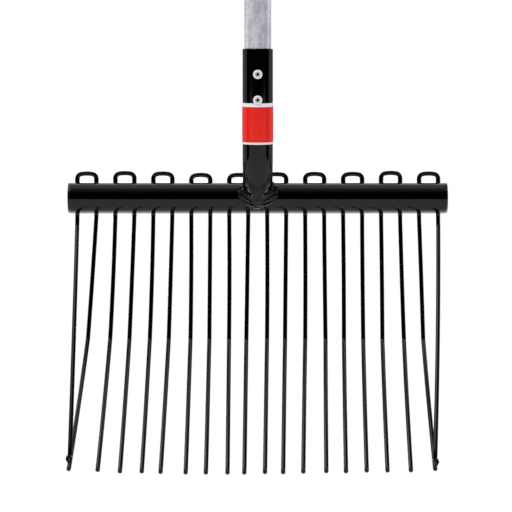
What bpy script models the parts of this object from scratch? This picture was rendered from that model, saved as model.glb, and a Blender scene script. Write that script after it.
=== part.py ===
"""Shavings fork: twenty steel wire tines in a cross tube, on a riveted tube handle.

Frame: metres, +Z up the handle, origin on the cross tube's axis at mid length.
The tines hang down from the tube and curve forward, towards -Y, into a basket.
"""
import math

import bmesh
import bpy
from mathutils import Matrix, Vector

MM = 0.001

# Cross tube
TUBE_DIAMETER = 34.0 * MM
TUBE_WALL = 2.0 * MM
TUBE_END_MARGIN = 7.13 * MM

# Tines: each pair is one wire, bent over the top of the tube
TINE_PAIRS = 10
TINE_PITCH = 20.06 * MM
WIRE_DIAMETER = 4.4 * MM
LOOP_HEIGHT = 10.3 * MM
LOOP_CORNER_RADIUS = 5.1 * MM
LOOP_CROWN = 0.7 * MM
EXIT_STRAIGHT = 1.5 * MM
EXIT_RADIUS = 20.0 * MM
UPPER_LENGTH = 130.9 * MM
LOWER_LENGTH = 165.2 * MM
KNEE_RADIUS = 16.0 * MM
UPPER_START_LEAN = math.radians(15.5)
UPPER_END_LEAN = math.radians(24.0)
LOWER_START_LEAN = math.radians(33.0)
LOWER_END_LEAN = math.radians(42.0)
LEFT_LEG_BOW = 0.3 * MM

# How far each loop stands above or below the common height, left to right
LOOP_SET = tuple(MM * value for value in (
    0.3, 0.75, 0.3, -1.15, -1.15, -0.4, -0.1, -0.1, 0.95, 0.3))

# Sideways run of each tine from its hole, at the knee and at the tip, and how much
# shorter it was cut, left to right, as the tines were bent and trimmed by hand
KNEE_SET = tuple(MM * value for value in (
    0.0, -5.7, -2.7, -2.8, -1.7, -2.1, 0.4, -0.1, 0.3, -1.8,
    -0.4, -1.8, -0.9, 0.1, -0.8, -0.9, -1.0, 1.2, 1.2, 0.0))
TIP_SET = tuple(MM * value for value in (
    0.0, -18.5, -9.4, -7.1, -5.4, -6.7, -1.7, -1.6, -0.1, -3.4,
    -2.9, -4.9, -4.9, -2.0, -2.4, -1.8, -1.1, 2.2, 6.6, 0.0))
TIP_TRIM = tuple(MM * value for value in (
    0.0, 4.2, 3.2, 1.5, 1.5, 0.8, 0.2, 0.1, 0.0, 0.1,
    0.6, 0.5, 1.1, 1.8, 1.6, 2.4, 2.5, 2.7, 4.3, 0.0))

# Side tines: nearly straight, welded to the front of their neighbours near the tips
SIDE_BEND_RADIUS = 24.0 * MM
SIDE_BOW_LEFT = 0.2 * MM
SIDE_BOW_RIGHT = 1.0 * MM
SIDE_SETBACK_LEFT = 13.4 * MM
SIDE_SETBACK_RIGHT = 8.9 * MM
SIDE_WELD_OUTSET = 0.2 * MM
TIP_WELD_LENGTH = 8.0 * MM
TIP_WELD_ACROSS = 3.6 * MM
TIP_WELD_DEPTH = 6.0 * MM
TIP_WELD_OUTSET = 1.7 * MM
TIP_WELD_SETBACK = 2.0 * MM

# Tube end plugs
PLUG_HEAD = 2.0 * MM
PLUG_EDGE_RADIUS = 1.4 * MM
PLUG_SPIGOT_WALL = 1.6 * MM
PLUG_TINE_ROOM = 1.2 * MM

# Socket: a bent tube, coped and welded to the front of the cross tube
SHAFT_DIAMETER = 28.0 * MM
SHAFT_WALL = 1.5 * MM
SHAFT_LENGTH = 1150.0 * MM
SHAFT_FOOT = 5.6 * MM
SOCKET_WALL = 1.7 * MM
SOCKET_STRAIGHT = 113.6 * MM
NECK_CLEAR = 4.0 * MM
NECK_RADIUS = 45.0 * MM
NECK_LEAN = math.radians(46.0)
HANDLE_LEAN = math.radians(6.5)
BEAD_RADIUS = 4.2 * MM
BEAD_OFFSET = 1.8 * MM
BEAD_RIPPLE_SHARE = 0.10
BEAD_RIPPLE_COUNT = 22

# Rivets, measured down from the socket's rim
RIVET_FIRST = 26.4 * MM
RIVET_PITCH = 26.6 * MM
RIVET_BODY_DIAMETER = 4.8 * MM
RIVET_HEAD_OVERHANG = 2.4 * MM
RIVET_HEAD_HEIGHT = 1.5 * MM
RIVET_RIM_HEIGHT = 0.6 * MM
RIVET_BULB_FLARE = 1.3 * MM
RIVET_BULB_HALF = 2.6 * MM
RIVET_BORE_SHARE = 0.55
RIVET_BORE_DEPTH = 3.0 * MM

# Label round the socket
LABEL_DROP = 56.4 * MM
LABEL_FOOT = 14.3 * MM
LABEL_THICKNESS = 0.3 * MM
LABEL_SEAM = 4.0 * MM

# Hand grip over the shaft's upper end
GRIP_LENGTH = 130.0 * MM
GRIP_WALL = 2.4 * MM
GRIP_END = 5.0 * MM
GRIP_EDGE_RADIUS = 5.0 * MM
GRIP_CUFF = 10.0 * MM
GRIP_PLAIN_END = 30.0 * MM
GRIP_GROOVE_WIDTH = 6.0 * MM
GRIP_GROOVE_DEPTH = 0.8 * MM
GRIP_GROOVES = 5

# Fits
FIT = 0.3 * MM
HOLE_CLEARANCE = 0.3 * MM
SEAT_GAP = 0.3 * MM
CUT_OVERRUN = 5.0 * MM

# Facets
ROUND_SIDES = 36
SMALL_SIDES = 22
DRILL_SIDES = 12
WIRE_RESOLUTION = 2
CORNER_STEPS = 3
KNEE_STEPS = 2
EXIT_STEPS = 2
UPPER_STEPS = 4
LOWER_STEPS = 4
SIDE_STEPS = 4
NECK_STEPS = 6

TUBE_RADIUS = TUBE_DIAMETER / 2
WIRE_RADIUS = WIRE_DIAMETER / 2
HOLE_RADIUS = WIRE_RADIUS + HOLE_CLEARANCE
TINE_COUNT = 2 * TINE_PAIRS
OUTER_TINE = TINE_PITCH * (TINE_COUNT - 1) / 2
TUBE_HALF = OUTER_TINE + TUBE_END_MARGIN
UPPER_RUN = EXIT_RADIUS * UPPER_START_LEAN + UPPER_LENGTH
SHAFT_RADIUS = SHAFT_DIAMETER / 2
SOCKET_BORE = SHAFT_RADIUS + FIT
SOCKET_RADIUS = SOCKET_BORE + SOCKET_WALL
NECK_LENGTH = TUBE_RADIUS + NECK_CLEAR
SHAFT_TOP = SHAFT_FOOT + SHAFT_LENGTH
RIVET_BODY = RIVET_BODY_DIAMETER / 2
RIVET_HEAD = RIVET_BODY + RIVET_HEAD_OVERHANG


def clear_scene():
    """Remove whatever the file holds."""
    for old in list(bpy.data.objects):
        bpy.data.objects.remove(old, do_unlink=True)


def finish_material(name, colour, roughness, metallic):
    """One Principled finish."""
    material = bpy.data.materials.new(name)
    material.use_nodes = True
    shader = material.node_tree.nodes["Principled BSDF"]
    shader.inputs["Base Color"].default_value = (*colour, 1.0)
    shader.inputs["Roughness"].default_value = roughness
    shader.inputs["Metallic"].default_value = metallic
    return material


def link(name, data, material=None):
    """Put mesh or curve data in the scene as a named object."""
    piece = bpy.data.objects.new(name, data)
    bpy.context.scene.collection.objects.link(piece)
    if material is not None:
        data.materials.append(material)
    return piece


def mesh_piece(name, bm, material=None, smooth_angle=35.0):
    """Write a bmesh to a named object, shaded smooth up to an angle."""
    bmesh.ops.recalc_face_normals(bm, faces=bm.faces)
    mesh = bpy.data.meshes.new(name)
    bm.to_mesh(mesh)
    bm.free()
    mesh.shade_smooth()
    mesh.set_sharp_from_angle(angle=math.radians(smooth_angle))
    return link(name, mesh, material)


def as_cutter(piece):
    """Mark an object as a tool that isn't part of the fork."""
    piece.hide_render = True
    piece.display_type = 'WIRE'
    return piece


def cut(piece, cutter):
    """Take one shape out of another."""
    modifier = piece.modifiers.new("cut_" + cutter.name, 'BOOLEAN')
    modifier.operation = 'DIFFERENCE'
    modifier.solver = 'EXACT'
    modifier.object = cutter


def swept_bmesh(stations, sides):
    """Skin rings along a path in the YZ plane, capped at both ends.

    Each station is (centre, direction, radius).
    """
    bm = bmesh.new()
    across = Vector((1.0, 0.0, 0.0))
    rings = []
    for centre, direction, radius in stations:
        side = direction.normalized().cross(across)
        ring = []
        for step in range(sides):
            angle = 2 * math.pi * step / sides
            offset = across * math.cos(angle) + side * math.sin(angle)
            ring.append(bm.verts.new(centre + offset * radius))
        rings.append(ring)
    for low, high in zip(rings, rings[1:]):
        for step in range(sides):
            after = (step + 1) % sides
            bm.faces.new((low[step], low[after], high[after], high[step]))
    bm.faces.new(rings[0])
    bm.faces.new(rings[-1])
    return bm


def rod_bmesh(radius, start, end, sides=ROUND_SIDES):
    """A round bar from start to end, along any axis."""
    bm = bmesh.new()
    axis = end - start
    turn = axis.to_track_quat('Z', 'Y').to_matrix().to_4x4()
    place = Matrix.Translation((start + end) / 2) @ turn
    bmesh.ops.create_cone(
        bm, cap_ends=True, segments=sides, radius1=radius, radius2=radius,
        depth=axis.length, matrix=place)
    return bm


def turned_bmesh(profile, sides=ROUND_SIDES):
    """Spin a closed (radius, height) outline round Z."""
    bm = bmesh.new()
    corners = [bm.verts.new((radius, 0.0, height)) for radius, height in profile]
    edges = [bm.edges.new((a, b)) for a, b in zip(corners, corners[1:])]
    bmesh.ops.spin(
        bm, geom=corners + edges, cent=(0, 0, 0), axis=(0, 0, 1),
        angle=2 * math.pi, steps=sides, use_merge=True)
    bmesh.ops.remove_doubles(bm, verts=bm.verts, dist=1e-6)
    return bm


def outline_arc(centre, across, up, start, end, steps):
    """Points of a round or oval arc in a (radius, height) outline, angles in radians."""
    points = []
    for step in range(steps + 1):
        angle = start + (end - start) * step / steps
        points.append((centre[0] + across * math.cos(angle),
                       centre[1] + up * math.sin(angle)))
    return points


def tine_x(index):
    """Where a tine passes through the tube."""
    return -OUTER_TINE + TINE_PITCH * index


def own_set(values, index):
    """A tine's or loop's own entry in a list of sets, none past the list's end."""
    return values[index] if index < len(values) else 0.0


def side_profile(trim):
    """The tine seen from the side: (run along the wire, y, z) from the tube's underside.

    A short bend out of the hole, a shallow curve to the knee, a tight bend, and a
    flatter curve to the tip.
    """
    knee_turn = LOWER_START_LEAN - UPPER_END_LEAN
    knee_run = KNEE_RADIUS * knee_turn
    stretches = (
        (EXIT_RADIUS * UPPER_START_LEAN, 0.0, UPPER_START_LEAN, EXIT_STEPS),
        (UPPER_LENGTH, UPPER_START_LEAN, UPPER_END_LEAN, UPPER_STEPS),
        (knee_run, UPPER_END_LEAN, LOWER_START_LEAN, KNEE_STEPS),
        (LOWER_LENGTH - knee_run - trim, LOWER_START_LEAN, LOWER_END_LEAN, LOWER_STEPS))
    y, z, run = 0.0, -(TUBE_RADIUS + EXIT_STRAIGHT), 0.0
    points = [(run, y, z)]
    for length, lean_from, lean_to, steps in stretches:
        for step in range(steps):
            lean = lean_from + (lean_to - lean_from) * (step + 0.5) / steps
            run += length / steps
            y -= math.sin(lean) * length / steps
            z -= math.cos(lean) * length / steps
            points.append((run, y, z))
    return points


def main_tine(index):
    """A tine with a knee, from under the tube to its tip."""
    knee, tip = own_set(KNEE_SET, index), own_set(TIP_SET, index)
    bow = LEFT_LEG_BOW if index % 2 == 0 else 0.0
    points = []
    for run, y, z in side_profile(own_set(TIP_TRIM, index)):
        share = run / UPPER_RUN
        if share <= 1.0:
            drift = knee * share + bow * 4 * share * (1 - share)
        else:
            drift = knee + (tip - knee) * (run - UPPER_RUN) / LOWER_LENGTH
        points.append(Vector((tine_x(index) + drift, y, z)))
    return points


def side_tine(index, neighbour, outward, setback, bow):
    """A side tine that ends on the front of its neighbour, short of the tip.

    bow is how far its middle stands to the right of a straight line.
    """
    low, tip = neighbour[-2], neighbour[-1]
    along = (tip - low).normalized()
    front = Vector((0.0, along.z, -along.y)).normalized()
    apart = WIRE_DIAMETER + SEAT_GAP
    rise = math.sqrt(apart ** 2 - SIDE_WELD_OUTSET ** 2)
    end = tip - along * setback + front * rise
    end.x += outward * SIDE_WELD_OUTSET
    start = Vector((tine_x(index), 0.0, -(TUBE_RADIUS + EXIT_STRAIGHT)))
    chord = end - start
    lean = math.atan2(-chord.y, -chord.z)
    points = []
    for step in range(CORNER_STEPS + 1):
        angle = lean * step / CORNER_STEPS
        run = Vector((0.0, math.cos(angle) - 1.0, -math.sin(angle)))
        points.append(start + run * SIDE_BEND_RADIUS)
    last = points[-1]
    for step in range(1, SIDE_STEPS + 1):
        share = step / SIDE_STEPS
        point = last.lerp(end, share)
        point.x += bow * 4 * share * (1 - share)
        points.append(point)
    return points


def tine_points(index):
    """Every tine, side tines included, from the tube to the tip."""
    if index == 0:
        return side_tine(index, main_tine(1), -1.0, SIDE_SETBACK_LEFT, SIDE_BOW_LEFT)
    if index == TINE_COUNT - 1:
        return side_tine(index, main_tine(TINE_COUNT - 2), 1.0, SIDE_SETBACK_RIGHT,
                         SIDE_BOW_RIGHT)
    return main_tine(index)


def loop_points(number):
    """The wire's way through the tube and over it, from the left hole to the right."""
    left, right = tine_x(2 * number), tine_x(2 * number + 1)
    top = TUBE_RADIUS + LOOP_HEIGHT + own_set(LOOP_SET, number) - WIRE_RADIUS
    corner = LOOP_CORNER_RADIUS
    points = [Vector((left, 0.0, -TUBE_RADIUS)), Vector((left, 0.0, TUBE_RADIUS))]
    for step in range(CORNER_STEPS + 1):
        angle = math.pi - math.pi / 2 * step / CORNER_STEPS
        points.append(Vector((left + corner + corner * math.cos(angle), 0.0,
                              top - corner + corner * math.sin(angle))))
    points.append(Vector(((left + right) / 2, 0.0, top + LOOP_CROWN)))
    for step in range(CORNER_STEPS + 1):
        angle = math.pi / 2 - math.pi / 2 * step / CORNER_STEPS
        points.append(Vector((right - corner + corner * math.cos(angle), 0.0,
                              top - corner + corner * math.sin(angle))))
    points += [Vector((right, 0.0, TUBE_RADIUS)), Vector((right, 0.0, -TUBE_RADIUS))]
    return points


def wire_curve(name, points, radius, material=None, radii=None, closed=False):
    """A round wire along a list of points."""
    curve = bpy.data.curves.new(name, 'CURVE')
    curve.dimensions = '3D'
    curve.bevel_depth = radius
    curve.bevel_resolution = WIRE_RESOLUTION
    curve.use_fill_caps = not closed
    spline = curve.splines.new('POLY')
    spline.points.add(len(points) - 1)
    for index, point in enumerate(points):
        spline.points[index].co = (*point, 1.0)
        spline.points[index].radius = radii[index] if radii else 1.0
    spline.use_cyclic_u = closed
    spline.use_smooth = True
    return link(name, curve, material)


def mesh_of(piece, name):
    """Turn a curve object into a mesh object of the same shape."""
    graph = bpy.context.evaluated_depsgraph_get()
    mesh = bpy.data.meshes.new_from_object(piece.evaluated_get(graph))
    mesh.name = name
    bpy.data.objects.remove(piece, do_unlink=True)
    bm = bmesh.new()
    bm.from_mesh(mesh)
    bpy.data.meshes.remove(mesh)
    bmesh.ops.remove_doubles(bm, verts=bm.verts, dist=1e-7)
    return bm


def make_tine_pair(number, coat):
    """One bent wire: two tines and the loop over the tube."""
    left, right = 2 * number, 2 * number + 1
    points = list(reversed(tine_points(left)))
    points += loop_points(number)
    points += tine_points(right)
    return wire_curve(f"tine_pair_{number + 1:02d}", points, WIRE_RADIUS, coat)


def make_cross_tube(coat):
    """The tube, bored right through, with a hole above and below for each tine."""
    half = Vector((TUBE_HALF, 0.0, 0.0))
    past = Vector((TUBE_HALF + CUT_OVERRUN, 0.0, 0.0))
    tube = mesh_piece("cross_tube", rod_bmesh(TUBE_RADIUS, -half, half), coat)
    bore = rod_bmesh(TUBE_RADIUS - TUBE_WALL, -past, past)
    cut(tube, as_cutter(mesh_piece("tube_bore", bore)))
    places = [Vector((tine_x(index), 0.0, 0.0)) for index in range(TINE_COUNT)]
    depth = TUBE_DIAMETER + 2 * CUT_OVERRUN
    cut(tube, upright_drills("tine_drills", places, depth))
    return tube


def make_end_plug(name, side, plastic):
    """A push-in plug: a round-edged head and a hollow spigot short of the outer tine."""
    head = TUBE_RADIUS - SEAT_GAP
    spigot = TUBE_RADIUS - TUBE_WALL - FIT
    foot = -(TUBE_END_MARGIN - WIRE_RADIUS - PLUG_TINE_ROOM)
    edge = PLUG_EDGE_RADIUS
    profile = [(0.0, PLUG_HEAD)]
    profile += outline_arc((head - edge, PLUG_HEAD - edge), edge, edge,
                           math.pi / 2, 0.0, CORNER_STEPS)
    profile += [(head, 0.0), (spigot, 0.0), (spigot, foot),
                (spigot - PLUG_SPIGOT_WALL, foot),
                (spigot - PLUG_SPIGOT_WALL, 0.0), (0.0, 0.0)]
    plug = mesh_piece(name, turned_bmesh(profile, SMALL_SIDES), plastic)
    plug.location = (side * (TUBE_HALF + SEAT_GAP), 0.0, 0.0)
    plug.rotation_euler = (0.0, side * math.pi / 2, 0.0)
    return plug


def lean_direction(lean):
    """Unit vector up the handle at a lean towards the front."""
    return Vector((0.0, -math.sin(lean), math.cos(lean)))


def neck_stations(radius, start, stop):
    """Rings of the bent socket, from start to stop along its three stretches.

    start is measured from the cross tube's axis and stop past the bend.
    """
    up = lean_direction(NECK_LEAN)
    stations = [(up * start, up, radius), (up * NECK_LENGTH, up, radius)]
    centre = up * NECK_LENGTH
    turn = NECK_LEAN - HANDLE_LEAN
    for step in range(NECK_STEPS):
        middle = NECK_LEAN - turn * (step + 0.5) / NECK_STEPS
        lean = NECK_LEAN - turn * (step + 1) / NECK_STEPS
        chord = 2 * NECK_RADIUS * math.sin(turn / NECK_STEPS / 2)
        centre = centre + lean_direction(middle) * chord
        stations.append((centre.copy(), lean_direction(lean), radius))
    direction = lean_direction(HANDLE_LEAN)
    stations.append((centre + direction * stop, direction, radius))
    return stations


def handle_base():
    """The point on the handle's axis where the socket's bend ends."""
    return neck_stations(SOCKET_RADIUS, 0.0, 1.0)[-2][0]


def upright_drills(name, places, depth):
    """Upright bars as wide as the tine holes, centred on the given places."""
    bm = bmesh.new()
    for place in places:
        bmesh.ops.create_cone(
            bm, cap_ends=True, segments=DRILL_SIDES, radius1=HOLE_RADIUS,
            radius2=HOLE_RADIUS, depth=depth, matrix=Matrix.Translation(place))
    return as_cutter(mesh_piece(name, bm))


def beside_socket(index):
    """Whether a tine's leg runs up within reach of the socket's weld."""
    return abs(tine_x(index)) < SOCKET_RADIUS + BEAD_OFFSET + BEAD_RADIUS + HOLE_RADIUS


def leg_clearance(name):
    """Bars that keep metal off the wires that run up beside the socket."""
    places = [Vector((tine_x(index), 0.0, TUBE_RADIUS)) for index in range(TINE_COUNT)
              if beside_socket(index)]
    return upright_drills(name, places, TUBE_DIAMETER)


def loop_clearance(name, number):
    """A loop's own path, as wide as the tine holes."""
    room = wire_curve(name + "_path", loop_points(number), HOLE_RADIUS)
    return as_cutter(mesh_piece(name, mesh_of(room, name)))


def rivet_heights():
    """Both rivets' places, up the handle's axis from the end of the bend."""
    first = SOCKET_STRAIGHT - RIVET_FIRST
    return first, first - RIVET_PITCH


def rivet_drills(name, anchor, radius):
    """Bars on the rivets' axes, from in front of the socket to the handle's axis."""
    bm = bmesh.new()
    for height in rivet_heights():
        start = Vector((0.0, -(SOCKET_RADIUS + CUT_OVERRUN), height))
        end = Vector((0.0, 0.0, height))
        rod = rod_bmesh(radius, start, end, DRILL_SIDES)
        mesh = bpy.data.meshes.new("drill")
        rod.to_mesh(mesh)
        rod.free()
        bm.from_mesh(mesh)
        bpy.data.meshes.remove(mesh)
    drills = as_cutter(mesh_piece(name, bm))
    drills.parent = anchor
    return drills


def make_socket(anchor, coat):
    """The handle socket: bored, coped to the cross tube, drilled in front for rivets."""
    outer = neck_stations(SOCKET_RADIUS, 0.0, SOCKET_STRAIGHT)
    socket = mesh_piece("socket", swept_bmesh(outer, ROUND_SIDES), coat)
    inner = neck_stations(SOCKET_BORE, -SOCKET_BORE, SOCKET_STRAIGHT + CUT_OVERRUN)
    cut(socket, as_cutter(mesh_piece("socket_bore", swept_bmesh(inner, ROUND_SIDES))))
    reach = Vector((SOCKET_RADIUS + CUT_OVERRUN, 0.0, 0.0))
    cope = rod_bmesh(TUBE_RADIUS + SEAT_GAP, -reach, reach)
    cut(socket, as_cutter(mesh_piece("tube_cope", cope)))
    cut(socket, leg_clearance("socket_leg_notch"))
    cut(socket, rivet_drills("socket_drills", anchor, RIVET_BODY + HOLE_CLEARANCE))
    return socket


def seam_point(angle):
    """Where the socket's neck meets the tube, round the neck from its front."""
    up = lean_direction(NECK_LEAN)
    front = Vector((0.0, -up.z, up.y))
    across = Vector((1.0, 0.0, 0.0))
    round_neck = front * math.cos(angle) + across * math.sin(angle)
    forward = SOCKET_RADIUS * math.cos(angle)
    height = math.sqrt(max(TUBE_RADIUS ** 2 - forward ** 2, 0.0))
    point = round_neck * SOCKET_RADIUS + up * height
    off_tube = Vector((0.0, point.y, point.z)).normalized()
    outward = (round_neck + off_tube).normalized()
    return point, outward


def make_socket_weld(coat):
    """A rippled fillet weld all round the foot of the socket."""
    points, radii = [], []
    steps = 2 * BEAD_RIPPLE_COUNT
    for step in range(steps):
        point, outward = seam_point(2 * math.pi * step / steps)
        points.append(point + outward * BEAD_OFFSET)
        radii.append(1.0 + BEAD_RIPPLE_SHARE / 2 * (-1.0) ** step)
    ring = wire_curve("weld_ring", points, BEAD_RADIUS, None, radii, closed=True)
    weld = mesh_piece("socket_weld", mesh_of(ring, "socket_weld"), coat)
    reach = Vector((SOCKET_RADIUS + 2 * BEAD_RADIUS + CUT_OVERRUN, 0.0, 0.0))
    tube_room = rod_bmesh(TUBE_RADIUS + SEAT_GAP, -reach, reach)
    cut(weld, as_cutter(mesh_piece("weld_tube_room", tube_room)))
    neck = neck_stations(SOCKET_RADIUS + SEAT_GAP, 0.0, SOCKET_STRAIGHT / 2)
    cut(weld, as_cutter(mesh_piece("weld_neck_room", swept_bmesh(neck, ROUND_SIDES))))
    for number in range(TINE_PAIRS):
        if beside_socket(2 * number) or beside_socket(2 * number + 1):
            cut(weld, loop_clearance(f"weld_loop_notch_{number + 1:02d}", number))
    return weld


def make_tip_weld(name, inner, outer, outward, coat):
    """A blob of weld on the outside of a side tine's end and its neighbour."""
    end = outer[-1]
    along = (inner[-1] - inner[-2]).normalized()
    front = Vector((0.0, along.z, -along.y)).normalized()
    across = front.cross(along).normalized()
    centre = end - front * WIRE_RADIUS - along * TIP_WELD_SETBACK
    centre.x += outward * TIP_WELD_OUTSET
    turn = Matrix((across, front, along)).transposed().to_4x4()
    size = Matrix.Diagonal((TIP_WELD_ACROSS / 2, TIP_WELD_DEPTH / 2,
                            TIP_WELD_LENGTH / 2, 1.0))
    bm = bmesh.new()
    bmesh.ops.create_icosphere(
        bm, subdivisions=2, radius=1.0,
        matrix=Matrix.Translation(centre) @ turn @ size)
    weld = mesh_piece(name, bm, coat, 60.0)
    room = WIRE_RADIUS + SEAT_GAP
    inner_room = wire_curve(name + "_inner", inner[-3:], room)
    cut(weld, as_cutter(mesh_piece(name + "_inner_room", mesh_of(inner_room, name))))
    past = outer[-1] + (outer[-1] - outer[-2]).normalized() * SEAT_GAP
    outer_room = wire_curve(name + "_outer", outer[-2:-1] + [past], room)
    cut(weld, as_cutter(mesh_piece(name + "_outer_room", mesh_of(outer_room, name))))
    return weld


def make_shaft(anchor, aluminium):
    """The handle tube, seated in the socket and drilled in front for the rivets."""
    top = SHAFT_RADIUS
    bore = SHAFT_RADIUS - SHAFT_WALL
    profile = [(bore, SHAFT_FOOT), (top, SHAFT_FOOT), (top, SHAFT_TOP), (bore, SHAFT_TOP),
               (bore, SHAFT_FOOT)]
    shaft = mesh_piece("handle_shaft", turned_bmesh(profile), aluminium)
    shaft.parent = anchor
    cut(shaft, rivet_drills("shaft_drills", anchor, RIVET_BODY + HOLE_CLEARANCE))
    return shaft


def make_rivet(name, anchor, height, metal):
    """A blind rivet: domed head outside, body through both walls, bulb inside."""
    bore = RIVET_BODY * RIVET_BORE_SHARE
    bulb = RIVET_BODY + RIVET_BULB_FLARE
    dome = RIVET_HEAD_HEIGHT - RIVET_RIM_HEIGHT
    inner = SHAFT_RADIUS - SHAFT_WALL
    hollow = inner - math.sqrt(inner ** 2 - bulb ** 2)
    grip = SEAT_GAP + SOCKET_WALL + FIT + SHAFT_WALL + hollow + SEAT_GAP
    swell = math.acos(RIVET_BODY / bulb)
    middle = -grip - RIVET_BULB_HALF * math.sin(swell)
    floor = RIVET_HEAD_HEIGHT - RIVET_BORE_DEPTH
    profile = [(0.0, floor), (bore, floor)]
    profile += outline_arc((0.0, RIVET_RIM_HEIGHT), RIVET_HEAD, dome,
                           math.acos(bore / RIVET_HEAD), 0.0, CORNER_STEPS)
    profile += [(RIVET_HEAD, 0.0), (RIVET_BODY, 0.0)]
    profile += outline_arc((0.0, middle), bulb, RIVET_BULB_HALF,
                           swell, -math.pi / 2, CORNER_STEPS + 1)
    rivet = mesh_piece(name, turned_bmesh(profile, SMALL_SIDES), metal)
    rivet.parent = anchor
    rivet.location = (0.0, -(SOCKET_RADIUS + SEAT_GAP), height)
    rivet.rotation_euler = (math.pi / 2, 0.0, 0.0)
    return rivet


def make_label(anchor, paint):
    """A thin band round the socket, open at the back, let in round the lower rivet."""
    inner = SOCKET_RADIUS + SEAT_GAP / 2
    outer = inner + LABEL_THICKNESS
    top = SOCKET_STRAIGHT - LABEL_DROP
    low = LABEL_FOOT
    profile = [(inner, low), (outer, low), (outer, top), (inner, top), (inner, low)]
    label = mesh_piece("label_band", turned_bmesh(profile), paint)
    label.parent = anchor
    seam = bmesh.new()
    bmesh.ops.create_cube(seam, size=1.0, matrix=Matrix.Translation(
        (0.0, SOCKET_RADIUS, (top + low) / 2)) @ Matrix.Diagonal(
        (LABEL_SEAM, SOCKET_RADIUS, top - low + CUT_OVERRUN, 1.0)))
    gap = as_cutter(mesh_piece("label_seam", seam))
    gap.parent = anchor
    cut(label, gap)
    cut(label, rivet_drills("label_notch", anchor, RIVET_HEAD + FIT))
    return label


def make_grip(anchor, rubber):
    """A grooved sleeve with a closed, rounded end, pushed over the shaft's top."""
    bore = SHAFT_RADIUS + FIT
    outer = bore + GRIP_WALL
    seat = SHAFT_TOP + SEAT_GAP
    low = seat - GRIP_LENGTH
    top = seat + GRIP_END
    edge = GRIP_EDGE_RADIUS
    profile = [(0.0, seat), (bore, seat), (bore, low), (outer, low)]
    pitch = (GRIP_LENGTH - GRIP_CUFF - GRIP_PLAIN_END) / GRIP_GROOVES
    for groove in range(GRIP_GROOVES):
        start = low + GRIP_CUFF + pitch * groove
        profile += [(outer, start),
                    (outer - GRIP_GROOVE_DEPTH, start + GRIP_GROOVE_WIDTH / 2),
                    (outer, start + GRIP_GROOVE_WIDTH)]
    profile += outline_arc((outer - edge, top - edge), edge, edge,
                           0.0, math.pi / 2, CORNER_STEPS)
    profile += [(0.0, top)]
    grip = mesh_piece("end_grip", turned_bmesh(profile, SMALL_SIDES), rubber)
    grip.parent = anchor
    return grip


def build():
    """Make every piece of the fork."""
    clear_scene()
    coat = finish_material("gloss_black_coat", (0.006, 0.006, 0.007), 0.16, 0.0)
    aluminium = finish_material("brushed_aluminium", (0.72, 0.72, 0.74), 0.35, 1.0)
    rivet_metal = finish_material("rivet_aluminium", (0.80, 0.80, 0.82), 0.28, 1.0)
    paint = finish_material("label_red", (0.78, 0.03, 0.01), 0.35, 0.0)
    plastic = finish_material("plug_black", (0.010, 0.010, 0.010), 0.40, 0.0)
    rubber = finish_material("grip_black", (0.014, 0.014, 0.014), 0.60, 0.0)

    make_cross_tube(coat)
    make_end_plug("end_plug_left", -1, plastic)
    make_end_plug("end_plug_right", 1, plastic)
    for number in range(TINE_PAIRS):
        make_tine_pair(number, coat)
    make_tip_weld("tip_weld_left", tine_points(1), tine_points(0), -1.0, coat)
    make_tip_weld("tip_weld_right", tine_points(TINE_COUNT - 2),
                  tine_points(TINE_COUNT - 1), 1.0, coat)

    anchor = bpy.data.objects.new("handle_axis", None)
    bpy.context.scene.collection.objects.link(anchor)
    anchor.location = handle_base()
    anchor.rotation_euler = (HANDLE_LEAN, 0.0, 0.0)

    make_socket(anchor, coat)
    make_socket_weld(coat)
    make_shaft(anchor, aluminium)
    upper, lower = rivet_heights()
    make_rivet("rivet_upper", anchor, upper, rivet_metal)
    make_rivet("rivet_lower", anchor, lower, rivet_metal)
    make_label(anchor, paint)
    make_grip(anchor, rubber)


build()
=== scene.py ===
"""Looks of the shavings fork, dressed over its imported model.

Frame: metres, +Z up the handle, origin on the cross tube's axis at mid length. The
tines hang down from the tube and curve forward, towards -Y, into a basket. Every
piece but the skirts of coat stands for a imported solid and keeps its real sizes.
"""
import logging
import math
from dataclasses import dataclass
from enum import Enum
from typing import Sequence

import bmesh
import bpy
from mathutils import Matrix, Vector, noise


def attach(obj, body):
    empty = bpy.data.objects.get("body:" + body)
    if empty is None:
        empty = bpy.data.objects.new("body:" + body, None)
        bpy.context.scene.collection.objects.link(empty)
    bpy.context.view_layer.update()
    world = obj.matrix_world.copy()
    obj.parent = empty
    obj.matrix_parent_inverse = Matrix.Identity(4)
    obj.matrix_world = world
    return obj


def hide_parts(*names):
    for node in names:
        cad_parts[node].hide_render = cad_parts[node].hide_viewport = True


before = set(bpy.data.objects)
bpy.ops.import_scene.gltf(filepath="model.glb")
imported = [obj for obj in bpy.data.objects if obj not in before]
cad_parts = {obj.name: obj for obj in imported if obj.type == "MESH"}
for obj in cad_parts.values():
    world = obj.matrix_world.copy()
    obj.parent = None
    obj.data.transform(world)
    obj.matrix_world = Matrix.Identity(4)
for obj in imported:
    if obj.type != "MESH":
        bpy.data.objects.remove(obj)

log = logging.getLogger("shavings_fork")

MM = 0.001
QUARTER = math.pi / 2

Pair = tuple[float, float]
Outline = Sequence[Pair]
Ring = list[Vector]
Colour = tuple[float, float, float, float]
Material = bpy.types.Material
Output = bpy.types.NodeSocket
Inputs = dict[str | int, object]

ROOM_TINT: Colour = (1.03, 0.985, 1.09, 1.0)


class Slot(Enum):
    """The record's material slots."""

    COAT = "black_coat"
    PLUG = "black_plug"
    SHAFT = "shaft_aluminium"
    RIVET = "rivet_aluminium"
    LABEL = "label"
    GRIP = "grip_rubber"


class Side(Enum):
    """The two ends of the head, seen from the load side."""

    LEFT = -1
    RIGHT = 1


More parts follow.
